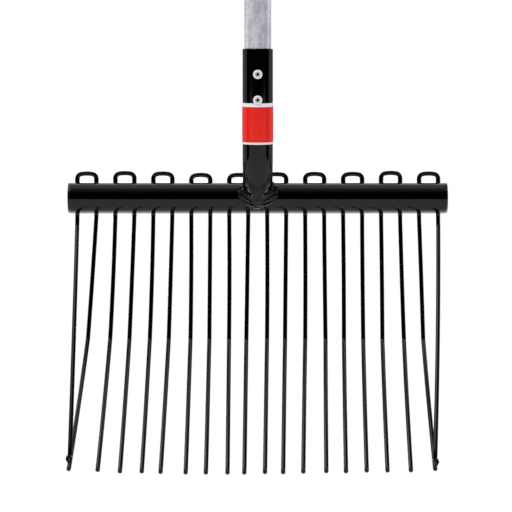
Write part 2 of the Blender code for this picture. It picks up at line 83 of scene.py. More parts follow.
class Place(Enum):
    """Where on the cross tube a wire leaves it."""

    ABOVE = 1
    BELOW = -1


# Node tools


def grey(tone: float) -> Colour:
    """A grey of a brightness."""
    return (tone, tone, tone, 1.0)


def scaled(colour: Colour, factor: float) -> Colour:
    """A colour made brighter or darker by a factor."""
    return tuple(factor * part for part in colour[:3]) + (1.0,)


@dataclass(frozen=True)
class Grain:
    """Soft noise: waves in a metre, finer octaves, their weight and its scale along Z."""

    scale: float
    detail: float = 3.0
    rough: float = 0.5
    along: float = 1.0


class Nodes:
    """A material's or the world's node tree, with short calls to fill it."""

    def __init__(self, tree: bpy.types.NodeTree) -> None:
        """Start from an empty tree."""
        self.tree = tree
        tree.nodes.clear()

    def add(self, kind: str, inputs: Inputs | None = None, **settings: object) -> bpy.types.Node:
        """Add one node.

        Args:
            kind: The node's type name.
            inputs: Numbers, colours or outputs for its inputs, by name or number.
            settings: Attributes to set on it first.

        Returns:
            The new node.
        """
        node = self.tree.nodes.new(kind)
        for name, value in settings.items():
            setattr(node, name, value)
        for key, value in (inputs or {}).items():
            if isinstance(value, Output):
                self.tree.links.new(value, node.inputs[key])
            else:
                node.inputs[key].default_value = value
        return node

    def math(self, operation: str, *values: object, clamp: bool = False) -> Output:
        """A number worked out from numbers or outputs, kept from 0 to 1 if it is clamped."""
        inputs = dict(enumerate(values))
        return self.add("ShaderNodeMath", inputs, operation=operation, use_clamp=clamp).outputs[0]

    def times(self, first: object, second: object) -> Output:
        """Two numbers multiplied."""
        return self.math("MULTIPLY", first, second)

    def fade(self, share: Output, first: Output, second: Output) -> Output:
        """A number that goes from the first to the second as the share grows."""
        rest = self.times(first, self.math("SUBTRACT", 1.0, share))
        return self.math("ADD", rest, self.times(second, share))

    def reach(self, x: Output, y: Output) -> Output:
        """Distance from the Z axis."""
        squares = [self.math("POWER", part, 2.0) for part in (x, y)]
        return self.math("SQRT", self.math("ADD", *squares))

    def between(self, value: Output, low: float, high: float) -> Output:
        """A smooth step from 0 at low to 1 at high."""
        inputs = {"Value": value, "From Min": low, "From Max": high}
        return self.add("ShaderNodeMapRange", inputs, interpolation_type="SMOOTHSTEP").outputs[0]

    def spread(self, value: Output, low: float, high: float) -> Output:
        """A number from 0 to 1 spread from low to high."""
        inputs = {"Value": value, "To Min": low, "To Max": high}
        return self.add("ShaderNodeMapRange", inputs).outputs[0]

    def mix(self, share: Output, first: object, second: object) -> Output:
        """A colour that goes from the first to the second as the share grows."""
        inputs = {0: share, 6: first, 7: second}
        return self.add("ShaderNodeMix", inputs, data_type="RGBA").outputs[2]

    def ramp(self, value: Output, stops: Outline) -> Output:
        """Look a number up on a ramp of greys.

        Args:
            value: The number, from 0 to 1.
            stops: The ramp's (place, brightness) stops.

        Returns:
            The brightness.
        """
        node = self.add("ShaderNodeValToRGB", {"Fac": value})
        elements = node.color_ramp.elements
        while len(elements) < len(stops):
            elements.new(0.5)
        for element, (place, tone) in zip(elements, stops):
            element.position = place
            element.color = grey(tone)
        return node.outputs["Color"]

    def ray(self, kind: str) -> Output:
        """Whether a ray is of a kind, such as Camera or Glossy."""
        return self.add("ShaderNodeLightPath").outputs[f"Is {kind} Ray"]

    def parts(self, vector: Output) -> tuple[Output, ...]:
        """A vector's X, Y and Z."""
        return tuple(self.add("ShaderNodeSeparateXYZ", {0: vector}).outputs)

    def aim(self) -> tuple[Output, ...]:
        """X, Y and Z of the direction in which the world is seen."""
        return self.parts(self.add("ShaderNodeTexCoord").outputs["Generated"])

    def place(self, along: float = 1.0) -> Output:
        """The piece's own coordinates in metres, scaled along Z."""
        where = self.add("ShaderNodeTexCoord").outputs["Object"]
        return self.add("ShaderNodeMapping", {"Vector": where, "Scale": (1.0, 1.0, along)}).outputs[0]

    def grain(self, grain: Grain) -> Output:
        """Soft noise from 0 to 1, fixed to the piece."""
        inputs = {"Vector": self.place(grain.along), "Scale": grain.scale,
                  "Detail": grain.detail, "Roughness": grain.rough}
        return self.add("ShaderNodeTexNoise", inputs).outputs["Fac"]

    def cells(self, scale: float) -> Output:
        """Distance to the nearest of points scattered through the piece, in cells."""
        inputs = {"Vector": self.place(), "Scale": scale}
        return self.add("ShaderNodeTexVoronoi", inputs).outputs["Distance"]

    def bump(self, height: Output, depth: float, under: Output | None = None) -> Output:
        """A normal from a height and its depth in metres, laid over another normal if given."""
        inputs = {"Height": height, "Distance": depth} | ({} if under is None else {"Normal": under})
        return self.add("ShaderNodeBump", inputs).outputs["Normal"]


# Finishes


@dataclass(frozen=True)
class Finish:
    """A finish made with one Principled shader."""

    name: str

    def inputs(self, nodes: Nodes) -> Inputs:
        """What the shader's inputs take, by name."""
        raise NotImplementedError

    def surface(self, nodes: Nodes, shader: bpy.types.Node) -> Output:
        """What the material shows: the shader alone."""
        return shader.outputs["BSDF"]

    def material(self) -> Material:
        """Make the finish's material.

        Returns:
            The new material.
        """
        made = bpy.data.materials.new(self.name)
        made.use_nodes = True
        nodes = Nodes(made.node_tree)
        shader = nodes.add("ShaderNodeBsdfPrincipled", self.inputs(nodes))
        nodes.add("ShaderNodeOutputMaterial", {"Surface": self.surface(nodes, shader)})
        return made


@dataclass(frozen=True)
class GlossCoat(Finish):
    """Black powder coat: deep gloss, a faint orange peel and a few dust specks."""

    name: str = "gloss_black_coat"
    colour: Colour = (0.0004, 0.0004, 0.0005, 1.0)
    index: float = 1.37
    roughness: Pair = (0.045, 0.080)
    cloud: Grain = Grain(90.0, 4.0, 0.6)
    speck: Colour = (0.012, 0.012, 0.013, 1.0)
    speck_scale: float = 260.0
    speck_edge: Pair = (0.10, 0.05)
    dusty: Grain = Grain(70.0, 1.0)
    dusty_edge: Pair = (0.60, 0.66)
    sag: Grain = Grain(60.0, 1.0)
    sag_depth: float = 0.012 * MM
    peel: Grain = Grain(420.0, 2.0)
    peel_depth: float = 0.0022 * MM

    def inputs(self, nodes: Nodes) -> Inputs:
        """Black with specks here and there, cloudy gloss, orange peel over slow sags.

        Args:
            nodes: The material's nodes.

        Returns:
            What the shader's inputs take.
        """
        specks = nodes.between(nodes.cells(self.speck_scale), *self.speck_edge)
        dusty = nodes.between(nodes.grain(self.dusty), *self.dusty_edge)
        sag = nodes.bump(nodes.grain(self.sag), self.sag_depth)
        return {"Base Color": nodes.mix(nodes.times(specks, dusty), self.colour, self.speck),
                "Roughness": nodes.spread(nodes.grain(self.cloud), *self.roughness),
                "IOR": self.index,
                "Normal": nodes.bump(nodes.grain(self.peel), self.peel_depth, sag)}


@dataclass(frozen=True)
class DrawnAluminium(Finish):
    """Bare aluminium tube, dulled by handling: cloudy blue-grey patches over fine streaks."""

    name: str = "drawn_aluminium"
    light: Colour = (0.97, 0.94, 0.945, 1.0)
    dark: Colour = (0.69, 0.715, 0.77, 1.0)
    cloud: Grain = Grain(75.0, 4.0, 0.65, 0.45)
    blotch: Grain = Grain(330.0, 3.0, 0.6, 0.7)
    streak: Grain = Grain(900.0, 3.0, 0.6, 0.05)
    shares: tuple[float, float, float] = (0.55, 0.30, 0.15)
    patch_edge: Pair = (0.40, 0.58)
    # Painted shade: a darker blue-grey band right of the middle, standing in for the darker reflection
    # there.
    painted_shade_band: Colour = (0.58, 0.61, 0.70, 1.0)
    painted_shade_left: Pair = (-3.0 * MM, 2.5 * MM)
    painted_shade_right: Pair = (10.2 * MM, 8.4 * MM)
    painted_shade_share: Pair = (0.95, 0.30)
    pit: Colour = (0.34, 0.34, 0.37, 1.0)
    pit_scale: float = 150.0
    pit_edge: Pair = (0.11, 0.07)
    pitted: Grain = Grain(38.0, 1.0)
    pitted_edge: Pair = (0.62, 0.66)
    metal: float = 0.62
    roughness: Pair = (0.30, 0.40)
    dull_edge: Pair = (0.42, 0.58)
    streak_depth: float = 0.006 * MM
    blotch_depth: float = 0.003 * MM

    def inputs(self, nodes: Nodes) -> Inputs:
        """Light and dark patches under a band of painted shade on the right, and rare pits.

        Args:
            nodes: The material's nodes.

        Returns:
            What the shader's inputs take.
        """
        cloud, blotch, streak = [nodes.grain(grain)
                                 for grain in (self.cloud, self.blotch, self.streak)]
        coarse, middle, fine = [nodes.times(grain, share)
                                for grain, share in zip((cloud, blotch, streak), self.shares)]
        tone = nodes.math("ADD", nodes.math("ADD", coarse, middle), fine)
        patch = nodes.between(tone, *self.patch_edge)
        x = nodes.parts(nodes.place())[0]
        # Painted shade in a band right of the middle, fainter over the light patches.
        painted_shade_band = nodes.times(nodes.between(x, *self.painted_shade_left), nodes.between(x, *self.painted_shade_right))
        painted_shade_band = nodes.times(painted_shade_band, nodes.spread(patch, *self.painted_shade_share))
        base = nodes.mix(painted_shade_band, nodes.mix(patch, self.dark, self.light), self.painted_shade_band)
        pits = nodes.times(nodes.between(nodes.cells(self.pit_scale), *self.pit_edge),
                           nodes.between(nodes.grain(self.pitted), *self.pitted_edge))
        dull = nodes.between(tone, *self.dull_edge)
        streaked = nodes.bump(streak, self.streak_depth)
        return {"Base Color": nodes.mix(pits, base, self.pit), "Metallic": self.metal,
                "Roughness": nodes.spread(dull, *self.roughness),
                "Normal": nodes.bump(blotch, self.blotch_depth, streaked)}


@dataclass(frozen=True)
class RivetMetal(Finish):
    """Bright aluminium, formed in a press, with a few dents and a ring of painted shade round the
    bore.
    """

    name: str = "rivet_metal"
    colour: Colour = (0.98, 0.98, 0.98, 1.0)
    shade: Colour = (0.86, 0.86, 0.87, 1.0)
    shade_edge: Pair = (0.55, 0.75)
    # Painted shade: a darker ring round the bore, standing in for the dark front mirrored in the
    # dished face.
    dull: Colour = (0.50, 0.50, 0.51, 1.0)
    dull_edge: Pair = (3.3 * MM, 2.7 * MM)
    metal: float = 0.15
    roughness: Pair = (0.24, 0.38)
    dent: Grain = Grain(900.0)
    dent_depth: float = 0.04 * MM

    def inputs(self, nodes: Nodes) -> Inputs:
        """Shaded dents, and a ring of painted shade round the bore.

        Args:
            nodes: The material's nodes.

        Returns:
            What the shader's inputs take.
        """
        dents = nodes.grain(self.dent)
        x, y, _ = nodes.parts(nodes.place())
        # Painted shade round the bore, darker inside the dull edge.
        bore_shade = nodes.between(nodes.reach(x, y), *self.dull_edge)
        bright = nodes.mix(nodes.between(dents, *self.shade_edge), self.colour, self.shade)
        return {"Base Color": nodes.mix(bore_shade, bright, self.dull), "Metallic": self.metal,
                "Roughness": nodes.spread(dents, *self.roughness),
                "Normal": nodes.bump(dents, self.dent_depth)}


@dataclass(frozen=True)
class PrintedFilm(Finish):
    """A glossy printed film: one ink, faintly worn and rippled."""

    ink: Colour
    worn: Colour
    mottle: Grain = Grain(500.0, 4.0, 0.6)
    worn_edge: Pair = (0.45, 0.95)
    roughness: Pair = (0.13, 0.23)
    index: float = 1.42
    ripple: Grain = Grain(220.0, 2.0)
    ripple_depth: float = 0.03 * MM

    def inputs(self, nodes: Nodes) -> Inputs:
        """A mottled ink under a rippled gloss.

        Args:
            nodes: The material's nodes.

        Returns:
            What the shader's inputs take.
        """
        mottle = nodes.grain(self.mottle)
        worn = nodes.between(mottle, *self.worn_edge)
        return {"Base Color": nodes.mix(worn, self.ink, self.worn), "IOR": self.index,
                "Roughness": nodes.spread(mottle, *self.roughness),
                "Normal": nodes.bump(nodes.grain(self.ripple), self.ripple_depth)}


@dataclass(frozen=True)
class MouldedBlack(Finish):
    """Black moulded plastic or rubber with a fine grain."""

    colour: Colour
    roughness: Pair
    grain: Grain
    grain_depth: float
    wear: Grain = Grain(45.0, 4.0, 0.65)
    wear_edge: Pair = (0.50, 0.80)
    wear_gain: float = 2.6

    def inputs(self, nodes: Nodes) -> Inputs:
        """Black, paler where it is worn, over the mould's grain.

        Args:
            nodes: The material's nodes.

        Returns:
            What the shader's inputs take.
        """
        grain = nodes.grain(self.grain)
        worn = nodes.between(nodes.grain(self.wear), *self.wear_edge)
        pale = scaled(self.colour, self.wear_gain)
        return {"Base Color": nodes.mix(worn, self.colour, pale),
                "Roughness": nodes.spread(grain, *self.roughness),
                "Normal": nodes.bump(grain, self.grain_depth)}


# Mesh tools


def turns(count: int) -> list[float]:
    """Angles of equal steps round a full circle."""
    return [2 * math.pi * step / count for step in range(count)]


def arc(centre: Pair, across: float, up: float, start: float, end: float,
        steps: int) -> Outline:
    """Lay points along a round or oval arc.

    Args:
        centre: The arc's centre.
        across: Its half width.
        up: Its half height.
        start: First angle in radians.
        end: Last angle in radians.
        steps: Stretches between the points.

    Returns:
        The points in order.
    """
    angles = [start + (end - start) * step / steps for step in range(steps + 1)]
    return [(centre[0] + across * math.cos(angle), centre[1] + up * math.sin(angle))
            for angle in angles]


def tube_rings(path: Ring, radii: Sequence[float], sides: int) -> list[Ring]:
    """Lay round rings along a path, without twist.

    Args:
        path: Points of the centre line.
        radii: The radius at each point.
        sides: Points in a ring.

    Returns:
        One ring for each point.
    """
    across = (path[1] - path[0]).normalized().orthogonal()
    last = len(path) - 1
    rings = []
    for index, point in enumerate(path):
        ahead = (path[min(index + 1, last)] - path[max(index - 1, 0)]).normalized()
        across = (across - ahead * across.dot(ahead)).normalized()
        side = ahead.cross(across)
        rings.append([point + (across * math.cos(angle) + side * math.sin(angle)) * radii[index]
                      for angle in turns(sides)])
    return rings


def add_object(name: str, data: bpy.types.ID) -> bpy.types.Object:
    """Put a mesh, a lamp or a camera into the scene.

    Args:
        name: The object's name.
        data: What it shows.

    Returns:
        The new object.
    """
    made = bpy.data.objects.new(name, data)
    bpy.context.scene.collection.objects.link(made)
    return made


class Shape:
    """A mesh under construction."""

    def __init__(self) -> None:
        """Start empty."""
        self.bm = bmesh.new()

    def skin(self, rings: Sequence[Ring], joined: bool = False) -> None:
        """Skin a run of rings of equal count, with a flat face on each open end.

        Args:
            rings: The rings, in order.
            joined: Whether the last ring meets the first.
        """
        made = [[self.bm.verts.new(point) for point in ring] for ring in rings]
        pairs = list(zip(made, made[1:]))
        if joined:
            pairs.append((made[-1], made[0]))
        for low, high in pairs:
            for corners in zip(low, low[1:] + low[:1], high[1:] + high[:1], high):
                self.bm.faces.new(corners)
        if not joined:
            self.bm.faces.new(made[0])
            self.bm.faces.new(made[-1])

    def turn(self, outline: Outline, sides: int) -> None:
        """Spin an outline round Z, closed on itself or the axis.

        Args:
            outline: Its (radius, height) points.
            sides: Steps in the full circle.
        """
        corners = [self.bm.verts.new((radius, 0.0, height)) for radius, height in outline]
        edges = [self.bm.edges.new(pair) for pair in zip(corners, corners[1:])]
        bmesh.ops.spin(self.bm, geom=corners + edges, cent=(0, 0, 0), axis=(0, 0, 1),
                       angle=2 * math.pi, steps=sides, use_merge=True)
        bmesh.ops.remove_doubles(self.bm, verts=self.bm.verts, dist=1e-7)

    def piece(self, name: str, material: Material, nodes: Sequence[str],
              smooth_angle: float = 40.0) -> bpy.types.Object:
        """Finish the mesh as a piece of the fork.

        Args:
            name: The piece's name.
            material: Its finish.
            nodes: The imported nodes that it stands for.
            smooth_angle: Edges sharper than this, in degrees, stay sharp.

        Returns:
            The new object, riding on the fork's one body.
        """
        bmesh.ops.recalc_face_normals(self.bm, faces=self.bm.faces)
        mesh = bpy.data.meshes.new(name)
        self.bm.to_mesh(mesh)
        self.bm.free()
        mesh.materials.append(material)
        mesh.shade_smooth()
        mesh.set_sharp_from_angle(angle=math.radians(smooth_angle))
        made = add_object(name, mesh)
        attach(made, "root")
        if nodes:
            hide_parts(*nodes)
        log.info("%s: %d faces, stands for %s", name, len(mesh.polygons),
                 ", ".join(nodes) if nodes else "surface detail")
        return made


# The head


@dataclass(frozen=True)
class HeadSizes:
    """Sizes that the cross tube, its plugs and its tines share."""

    tube_radius: float = 17.0 * MM
    tube_wall: float = 2.0 * MM
    end_margin: float = 7.13 * MM
    pitch: float = 20.06 * MM
    pairs: int = 10
    wire_radius: float = 2.2 * MM
    coat: float = 0.08 * MM
    loop_coat: float = 0.26 * MM
    seat_gap: float = 0.3 * MM

    @property
    def count(self) -> int:
        """How many tines the head has."""
        return 2 * self.pairs

    @property
    def outer(self) -> float:
        """How far the side tines stand from the middle."""
        return self.pitch * (self.count - 1) / 2

    @property
    def half_length(self) -> float:
        """Half the cross tube's length."""
        return self.outer + self.end_margin

    def tine_x(self, index: int) -> float:
        """Where a tine passes through the tube."""
        return -self.outer + self.pitch * index


@dataclass
class CrossTube:
    """The coated tube and the skirt of coat round each wire that enters it.

    A skirt is how far it spreads over the tube and how far it climbs up the wire.
    """

    head: HeadSizes
    coat: Material
    sides: int = 160
    edge: float = 0.5 * MM
    support: float = 1.5 * MM
    upper_skirt: Pair = (0.4 * MM, 0.7 * MM)
    lower_skirt: Pair = (0.5 * MM, 1.2 * MM)
    skirt_root: float = -0.3 * MM
    skirt_sides: int = 28
    skirt_steps: int = 5

    def build(self) -> None:
        """Make the tube and its skirts."""
        self.make_tube()
        self.make_skirts()

    def make_tube(self) -> None:
        """Make the tube, open at both ends, with softened edges."""
        radius, half, edge = self.head.tube_radius, self.head.half_length, self.edge
        bore = radius - self.head.tube_wall
        outline = [(bore, -half), (radius - edge, -half)]
        outline += arc((radius - edge, -half + edge), edge, edge, -QUARTER, 0.0, steps=4)
        outline += [(radius, -half + self.support), (radius, half - self.support)]
        outline += arc((radius - edge, half - edge), edge, edge, 0.0, QUARTER, steps=4)
        outline += [(bore, half), (bore, -half)]
        shape = Shape()
        shape.turn(outline, self.sides)
        shape.bm.transform(Matrix.Rotation(QUARTER, 4, 'Y'))
        shape.piece("tube_coated", self.coat, ["cross_tube"])

    def skirt_ring(self, x: float, place: Place, spread: float, lift: float) -> Ring:
        """Lay one ring of a skirt on the tube's curve.

        Args:
            x: The wire's place along the tube.
            place: Above or below the tube.
            spread: The ring's distance from the wire's axis.
            lift: Its height over the tube's surface.

        Returns:
            The ring's points.
        """
        ring = []
        for angle in turns(self.skirt_sides):
            y = spread * math.sin(angle)
            ground = math.sqrt(self.head.tube_radius ** 2 - y * y)
            ring.append(Vector((x + spread * math.cos(angle), y, place.value * (ground + lift))))
        return ring

    def make_skirts(self) -> None:
        """Draw coat up the wires in a hollow curve, above and below the tube."""
        shape = Shape()
        wire, root = self.head.wire_radius + self.head.loop_coat, self.skirt_root
        angles = [QUARTER * step / self.skirt_steps for step in range(self.skirt_steps + 1)]
        for index in range(self.head.count):
            for place in Place:
                width, height = self.upper_skirt if place is Place.ABOVE else self.lower_skirt
                curve = [(wire + width, root)]
                curve += [(wire + width * (1.0 - math.sin(angle)),
                           height * (1.0 - math.cos(angle))) for angle in angles]
                curve += [(wire + root, height), (wire + root, root)]
                shape.skin([self.skirt_ring(self.head.tine_x(index), place, *point)
                            for point in curve], joined=True)
        shape.piece("tine_skirts", self.coat, [], smooth_angle=60.0)


@dataclass
class EndPlug:
    """A push-in plug with a low domed head."""

    head: HeadSizes
    plastic: Material
    side: Side
    thickness: float = 2.0 * MM
    edge: float = 1.4 * MM
    spigot_wall: float = 1.6 * MM
    tine_room: float = 1.2 * MM
    fit: float = 0.3 * MM
    sides: int = 96

    def build(self) -> None:
        """Make the plug."""
        head, thickness, edge = self.head, self.thickness, self.edge
        rim = head.tube_radius - head.seat_gap
        spigot = head.tube_radius - head.tube_wall - self.fit
        foot = -(head.end_margin - head.wire_radius - self.tine_room)
        outline = [(0.0, thickness)]
        outline += arc((rim - edge, thickness - edge), edge, edge, QUARTER, 0.0, steps=8)
        outline += [(rim, 0.0), (spigot, 0.0), (spigot, foot),
                    (spigot - self.spigot_wall, foot), (spigot - self.spigot_wall, 0.0),
                    (0.0, 0.0)]
        shape = Shape()
        shape.turn(outline, self.sides)
        turn = Matrix.Rotation(self.side.value * QUARTER, 4, 'Y')
        move = Matrix.Translation((self.side.value * (head.half_length + head.seat_gap), 0, 0))
        shape.bm.transform(move @ turn)
        name = self.side.name.lower()
        shape.piece(f"plug_{name}", self.plastic, [f"end_plug_{name}"])


@dataclass
class Tines:
    """Twenty wire tines in ten bent pairs, set by hand and trimmed one by one.

    The sets run from left to right, in millimetres: how far each loop stands over the
    common height, how far each tine runs sideways from its hole at the knee and at the
    tip, and how much shorter it was cut.
    """

    head: HeadSizes
    coat: Material
    loop_height: float = 10.3 * MM
    loop_corner: float = 5.1 * MM
    loop_crown: float = 0.7 * MM
    crown_turn: float = math.radians(10.0)
    exit_straight: float = 1.5 * MM
    exit_radius: float = 20.0 * MM
    upper_length: float = 130.9 * MM
    lower_length: float = 165.2 * MM
    knee_radius: float = 16.0 * MM
    upper_start: float = math.radians(15.5)
    upper_end: float = math.radians(24.0)
    lower_start: float = math.radians(33.0)
    lower_end: float = math.radians(42.0)
    left_leg_bow: float = 0.3 * MM
    loop_set: tuple[float, ...] = (
        0.3, 0.75, 0.3, -1.15, -1.15, -0.4, -0.1, -0.1, 0.95, 0.3)
    knee_set: tuple[float, ...] = (
        0.0, -5.7, -2.7, -2.8, -1.7, -2.1, 0.4, -0.1, 0.3, -1.8,
        -0.4, -1.8, -0.9, 0.1, -0.8, -0.9, -1.0, 1.2, 1.2, 0.0)
    tip_set: tuple[float, ...] = (
        0.0, -18.5, -9.4, -7.1, -5.4, -6.7, -1.7, -1.6, -0.1, -3.4,
        -2.9, -4.9, -4.9, -2.0, -2.4, -1.8, -1.1, 2.2, 6.6, 0.0)
    tip_trim: tuple[float, ...] = (
        0.0, 4.2, 3.2, 1.5, 1.5, 0.8, 0.2, 0.1, 0.0, 0.1,
        0.6, 0.5, 1.1, 1.8, 1.6, 2.4, 2.5, 2.7, 4.3, 0.0)
    side_bend: float = 24.0 * MM
    side_bow: Pair = (0.2 * MM, 1.0 * MM)
    side_setback: Pair = (13.4 * MM, 8.9 * MM)
    weld_outset: float = 0.2 * MM
    end_softness: float = 0.45
    end_steps: int = 4
    bend_steps: int = 6
    run_steps: int = 24
    side_bend_steps: int = 8
    side_run_steps: int = 20
    corner_steps: int = 10
    sides: int = 20

    def build(self) -> None:
        """Make the ten pairs."""
        for number in range(self.head.pairs):
            path = self.tine_path(2 * number)[::-1] + self.loop_path(number)
            path += self.tine_path(2 * number + 1)
            shape = Shape()
            shape.skin(self.wire_rings(path))
            name = f"{number + 1:02d}"
            shape.piece(f"wire_pair_{name}", self.coat, [f"tine_pair_{name}"],
                        smooth_angle=60.0)

    def wire_rings(self, path: Ring) -> list[Ring]:
        """Lay rings along a wire, softened at its cut ends and thicker where coat gathered.

        Args:
            path: The wire's centre line, tip to tip.

        Returns:
            The rings, closing in at both ends.
        """
        radius = self.head.wire_radius + self.head.coat
        loop_radius = self.head.wire_radius + self.head.loop_coat
        edge = self.end_softness * radius
        angles = [QUARTER * step / self.end_steps for step in range(self.end_steps + 1)]
        gaps = [edge * (1.0 - math.cos(angle)) for angle in angles]
        ends = [radius - edge + edge * math.sin(angle) for angle in angles]
        first = (path[1] - path[0]).normalized()
        last = (path[-2] - path[-1]).normalized()
        run = [path[0] + first * gap for gap in gaps] + path[1:-1]
        run += [path[-1] + last * gap for gap in reversed(gaps)]
        middle = [radius if point.z < 0.0 else loop_radius for point in path[1:-1]]
        return tube_rings(run, ends + middle + ends[::-1], self.sides)

    @property
    def foot(self) -> float:
        """Height of the straight stretch's end, under the tube."""
        return -(self.head.tube_radius + self.exit_straight)

    @property
    def upper_run(self) -> float:
        """Run of the wire from under the tube to the knee."""
        return self.exit_radius * self.upper_start + self.upper_length

    def side_profile(self, trim: float) -> list[tuple[float, float, float]]:
        """Follow a tine as it is seen from the side.

        Args:
            trim: How much shorter than its neighbours it was cut.

        Returns:
            Points of (run along the wire, y, z).
        """
        knee_run = self.knee_radius * (self.lower_start - self.upper_end)
        stretches = (
            (self.exit_radius * self.upper_start, 0.0, self.upper_start, self.bend_steps),
            (self.upper_length, self.upper_start, self.upper_end, self.run_steps),
            (knee_run, self.upper_end, self.lower_start, self.bend_steps),
            (self.lower_length - knee_run - trim, self.lower_start, self.lower_end,
             self.run_steps))
        run, y, z = 0.0, 0.0, self.foot
        points = [(run, y, z)]
        for length, lean_from, lean_to, steps in stretches:
            for step in range(steps):
                lean = lean_from + (lean_to - lean_from) * (step + 0.5) / steps
                run += length / steps
                y -= math.sin(lean) * length / steps
                z -= math.cos(lean) * length / steps
                points.append((run, y, z))
        return points

    def main_tine(self, index: int) -> Ring:
        """Lead a tine with a knee from under the tube to its tip.

        Args:
            index: The tine, from the left.

        Returns:
            Its centre line.
        """
        knee, tip = self.knee_set[index] * MM, self.tip_set[index] * MM
        bow = self.left_leg_bow if index % 2 == 0 else 0.0
        points = []
        for run, y, z in self.side_profile(self.tip_trim[index] * MM):
            share = run / self.upper_run
            drift = knee * share + bow * 4 * share * (1 - share)
            if share > 1.0:
                drift = knee + (tip - knee) * (run - self.upper_run) / self.lower_length
            points.append(Vector((self.head.tine_x(index) + drift, y, z)))
        return points

    def side_tine(self, index: int, side: Side) -> Ring:
        """Lead a nearly straight tine down to the front of its neighbour.

        Args:
            index: The tine, from the left.
            side: Which end of the head it stands at.

        Returns:
            Its centre line, from under the tube to the weld.
        """
        number = 0 if side is Side.LEFT else 1
        low, tip = self.main_tine(index - side.value)[-2:]
        along = (tip - low).normalized()
        front = Vector((0.0, along.z, -along.y)).normalized()
        apart = 2 * self.head.wire_radius + self.head.seat_gap
        rise = math.sqrt(apart ** 2 - self.weld_outset ** 2)
        end = tip - along * self.side_setback[number] + front * rise
        end.x += side.value * self.weld_outset
        start = Vector((self.head.tine_x(index), 0.0, self.foot))
        lean = math.atan2(start.y - end.y, start.z - end.z)
        points = []
        for step in range(self.side_bend_steps + 1):
            angle = lean * step / self.side_bend_steps
            run = Vector((0.0, math.cos(angle) - 1.0, -math.sin(angle)))
            points.append(start + run * self.side_bend)
        bend_end = points[-1]
        for step in range(1, self.side_run_steps + 1):
            share = step / self.side_run_steps
            point = bend_end.lerp(end, share)
            point.x += self.side_bow[number] * 4 * share * (1 - share)
            points.append(point)
        return points

    def tine_path(self, index: int) -> Ring:
        """Any tine's centre line, from under the tube to its tip."""
        ends = {0: Side.LEFT, self.head.count - 1: Side.RIGHT}
        return self.side_tine(index, ends[index]) if index in ends else self.main_tine(index)

    def loop_path(self, number: int) -> Ring:
        """Lead a wire up through the tube, over it in a flat loop and down again.

        Args:
            number: The pair, from the left.

        Returns:
            The loop's centre line.
        """
        left, right = self.head.tine_x(2 * number), self.head.tine_x(2 * number + 1)
        radius = self.head.tube_radius
        top = radius + self.loop_height - self.head.wire_radius + self.loop_crown
        top += self.loop_set[number] * MM
        corner, lean, steps = self.loop_corner, self.crown_turn, self.corner_steps
        middle, flank = (left + right) / 2, (right - left) / 2 - corner
        crown = (flank + corner * math.sin(lean)) / math.sin(lean)
        centre = top - crown * (1 - math.cos(lean)) - corner * math.cos(lean)
        before, after = QUARTER + lean, QUARTER - lean
        line = [(left, -radius), (left, 0.0), (left, radius)]
        line += arc((middle - flank, centre), corner, corner, math.pi, before, steps)[:-1]
        line += arc((middle, top - crown), crown, crown, before, after, steps)
        line += arc((middle + flank, centre), corner, corner, after, 0.0, steps)[1:]
        line += [(right, radius), (right, 0.0), (right, -radius)]
        return [Vector((x, 0.0, z)) for x, z in line]


@dataclass
class TipWeld:
    """The lumpy weld on a side tine's end and its neighbour."""

    tines: Tines
    coat: Material
    side: Side
    length: float = 8.0 * MM
    across: float = 4.4 * MM
    depth: float = 6.4 * MM
    outset: float = 1.9 * MM
    setback: float = -0.6 * MM
    lump: float = 0.12
    lump_waves: float = 1.7
    lump_seed: Pair = (5.0, 3.0)
    ripple: float = 0.25
    ripple_waves: float = 9.0

    def build(self) -> None:
        """Make the weld."""
        last = self.tines.head.count - 1
        own, near = (0, 1) if self.side is Side.LEFT else (last, last - 1)
        inner, outer = self.tines.tine_path(near), self.tines.tine_path(own)
        along = (inner[-1] - inner[-2]).normalized()
        front = Vector((0.0, along.z, -along.y)).normalized()
        across = front.cross(along).normalized()
        centre = outer[-1] - front * self.tines.head.wire_radius - along * self.setback
        centre.x += self.side.value * self.outset
        turn = Matrix((across, front, along)).transposed().to_4x4()
        size = Matrix.Diagonal((self.across / 2, self.depth / 2, self.length / 2, 1.0))
        seed = Vector((*self.lump_seed, self.side.value))
        shape = Shape()
        bmesh.ops.create_icosphere(shape.bm, subdivisions=4, radius=1.0)
        for vert in shape.bm.verts:
            swell = noise.noise(vert.co * self.lump_waves + seed)
            ripple = self.ripple * math.sin(self.ripple_waves * vert.co.z)
            vert.co *= 1.0 + (swell + ripple) * self.lump
        shape.bm.transform(Matrix.Translation(centre) @ turn @ size)
        name = self.side.name.lower()
        shape.piece(f"side_weld_{name}", self.coat, [f"tip_weld_{name}"],
                    smooth_angle=80.0)


# The handle


